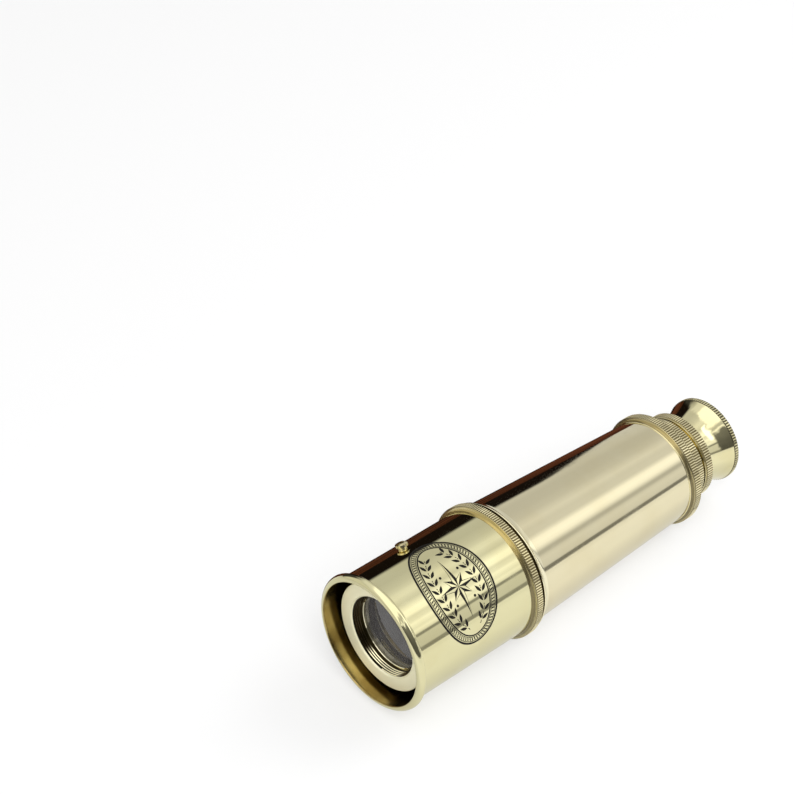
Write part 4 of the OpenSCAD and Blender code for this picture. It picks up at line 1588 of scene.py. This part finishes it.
        # Noise bends the sky across the part and the window, because the eyecup's flare is slightly uneven.
        near = board.span(parts[0], 0.46, 0.49, 1.0, 0.0)
        sway, slant = (
            board.math("MULTIPLY", board.math("SUBTRACT", board.noise(place, scale), 0.5), near)
            for place, scale in ((way, 3.1), (board.stretched(way, (1.3, -1.7, 1.1)), 2.7))
        )
        bent = board.math("ADD", over, board.math("MULTIPLY", sway, 0.14))
        along = board.math("ADD", parts[0], board.math("MULTIPLY", slant, 0.22))
        across = board.levels(bent, self.sky_across, HALF_TURN)
        ahead, away = (board.levels(over, sky, HALF_TURN) for sky in (self.sky_ahead, self.sky_away))
        light = board.blend(board.span(parts[0], 0.55, 0.60), ahead, away)
        lower = board.math("ADD", *(
            board.span(parts[0], low, high, 0.0, drop / HALF_TURN) for low, high, drop in self.room_drops
        ))
        start, end = (degrees / HALF_TURN for degrees in self.room_start)
        open_sky = board.span(board.math("SUBTRACT", over, lower), start, end, 1.0, 0.0)
        light = board.blend(open_sky, self.dark_room, light)
        wide, high = board.window(along, 0.34, 0.465, 0.05), board.window(bent, 0.22, 0.46, 0.06)
        light = board.blend(board.math("MULTIPLY", wide, high), light, self.window_light)
        light = board.blend(board.span(along, 0.25, 0.33), across, light)
        forward, behind = board.span(parts[0], -0.28, -0.10, 1.0, 0.0), board.span(over, 0.78, 0.84)
        light = board.blend(board.math("MULTIPLY", forward, behind), light, self.front_light)
        path = board.add("ShaderNodeLightPath").outputs
        mirror = board.add("ShaderNodeBackground", {0: light, 1: 1.0})
        soft = board.add("ShaderNodeBackground", {0: (1.0, 1.0, 1.0), 1: self.fill_glow})
        white = board.add("ShaderNodeBackground", {0: (1.0, 1.0, 1.0), 1: 1.0})
        seen = board.math("MAXIMUM", path["Is Camera Ray"], path["Is Transmission Ray"])
        lit = board.add("ShaderNodeMixShader", {
            0: path["Is Glossy Ray"], 1: soft.outputs[0], 2: mirror.outputs[0],
        })
        shown = board.add("ShaderNodeMixShader", {0: seen, 1: lit.outputs[0], 2: white.outputs[0]})
        board.add("ShaderNodeOutputWorld", {0: shown.outputs[0]})

    def lamp(self, name: str, place: tuple[float, float, float], size: float, power: float) -> None:
        """Hangs a soft lamp that looks at the object.

        Args:
            name: Name of the lamp.
            place: Where it hangs, in metres.
            size: Length of its side, in metres.
            power: Power in watts.
        """
        light = bpy.data.lights.new(name, "AREA")
        light.size, light.energy = size, power
        lamp = bpy.data.objects.new(name, light)
        lamp.location = place
        lamp.rotation_mode = "QUATERNION"
        lamp.rotation_quaternion = (Vector((0, 0, 0.02)) - Vector(place)).to_track_quat("-Z", "Y")
        lamp.visible_glossy = False
        bpy.context.scene.collection.objects.link(lamp)

    def camera(self) -> None:
        """Sets the camera where the photograph was taken from."""
        data = bpy.data.cameras.new("camera")
        data.lens, data.sensor_width, data.sensor_fit = self.lens, self.sensor, "HORIZONTAL"
        data.clip_start, data.clip_end = 0.01, 20.0
        camera = bpy.data.objects.new("camera", data)
        turn = Matrix((self.right, -self.down, -self.ahead)).transposed().to_4x4()
        camera.matrix_world = Matrix.Translation(self.eye) @ turn
        bpy.context.scene.collection.objects.link(camera)
        bpy.context.scene.camera = camera

    def build(self) -> None:
        """Builds the studio."""
        self.ground()
        self.surround()
        self.lamp("key light", (-0.5, -0.7, 0.9), 0.7, 9.0)
        self.lamp("fill light", (0.7, -0.3, 0.8), 0.8, 5.0)
        self.camera()
        bpy.context.scene.view_settings.view_transform = "Standard"


CAD_FINISHES: dict[str, Finish] = {
    "sunshade_bush": GAP_SHADE_BRASS, "sunshade_stop_screw": SCREW_BRASS, "objective_tube": TUBE_BRASS,
    "barrel_draw_bush": INNER_BRASS, "objective_flint_lens": FRONT_GLASS,
}
DRAWS = (
    Draw("first_draw", Body.FIRST_DRAW, 13.3, 23.75, 122.75, collar_start=118.2, collar_end=123.95,
         web_bore=12.25),
    Draw("second_draw", Body.SECOND_DRAW, 12.2, 29.75, 126.75, collar_start=124.65, collar_end=127.95,
         bead=0.45, web_bore=11.15),
    Draw("third_draw", Body.THIRD_DRAW, 11.1, 33.75, 128.2),
)


def dress_nodes() -> None:
    """Gives each CAD node that still shows its procedural finish."""
    by_slot = {
        Slot.TUBE.value: DRAW_BRASS, Slot.COLLAR.value: INNER_BRASS, Slot.RING.value: PALE_RING,
        Slot.INNER.value: INNER_BRASS, Slot.BLACKENED.value: BLACKENED, Slot.GLASS.value: LENS_GLASS,
    }
    for name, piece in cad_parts.items():
        old = piece.material_slots[0].material.name.split(".")[0] if piece.material_slots else ""
        finish = CAD_FINISHES.get(name) or by_slot.get(old, INNER_BRASS)
        for place in piece.material_slots:
            place.material = finish.material()
        LOG.info("node %s has %s", name, finish.name)


def main() -> None:
    """Builds the spyglass and its studio."""
    logging.basicConfig(level=logging.INFO, format="%(name)s: %(message)s")
    for piece in (Sunshade(), Barrel(), Objective(), *DRAWS, Eyecup(), Medallion()):
        piece.build()
    dress_nodes()
    Studio().build()


if __name__ == "__main__":
    main()
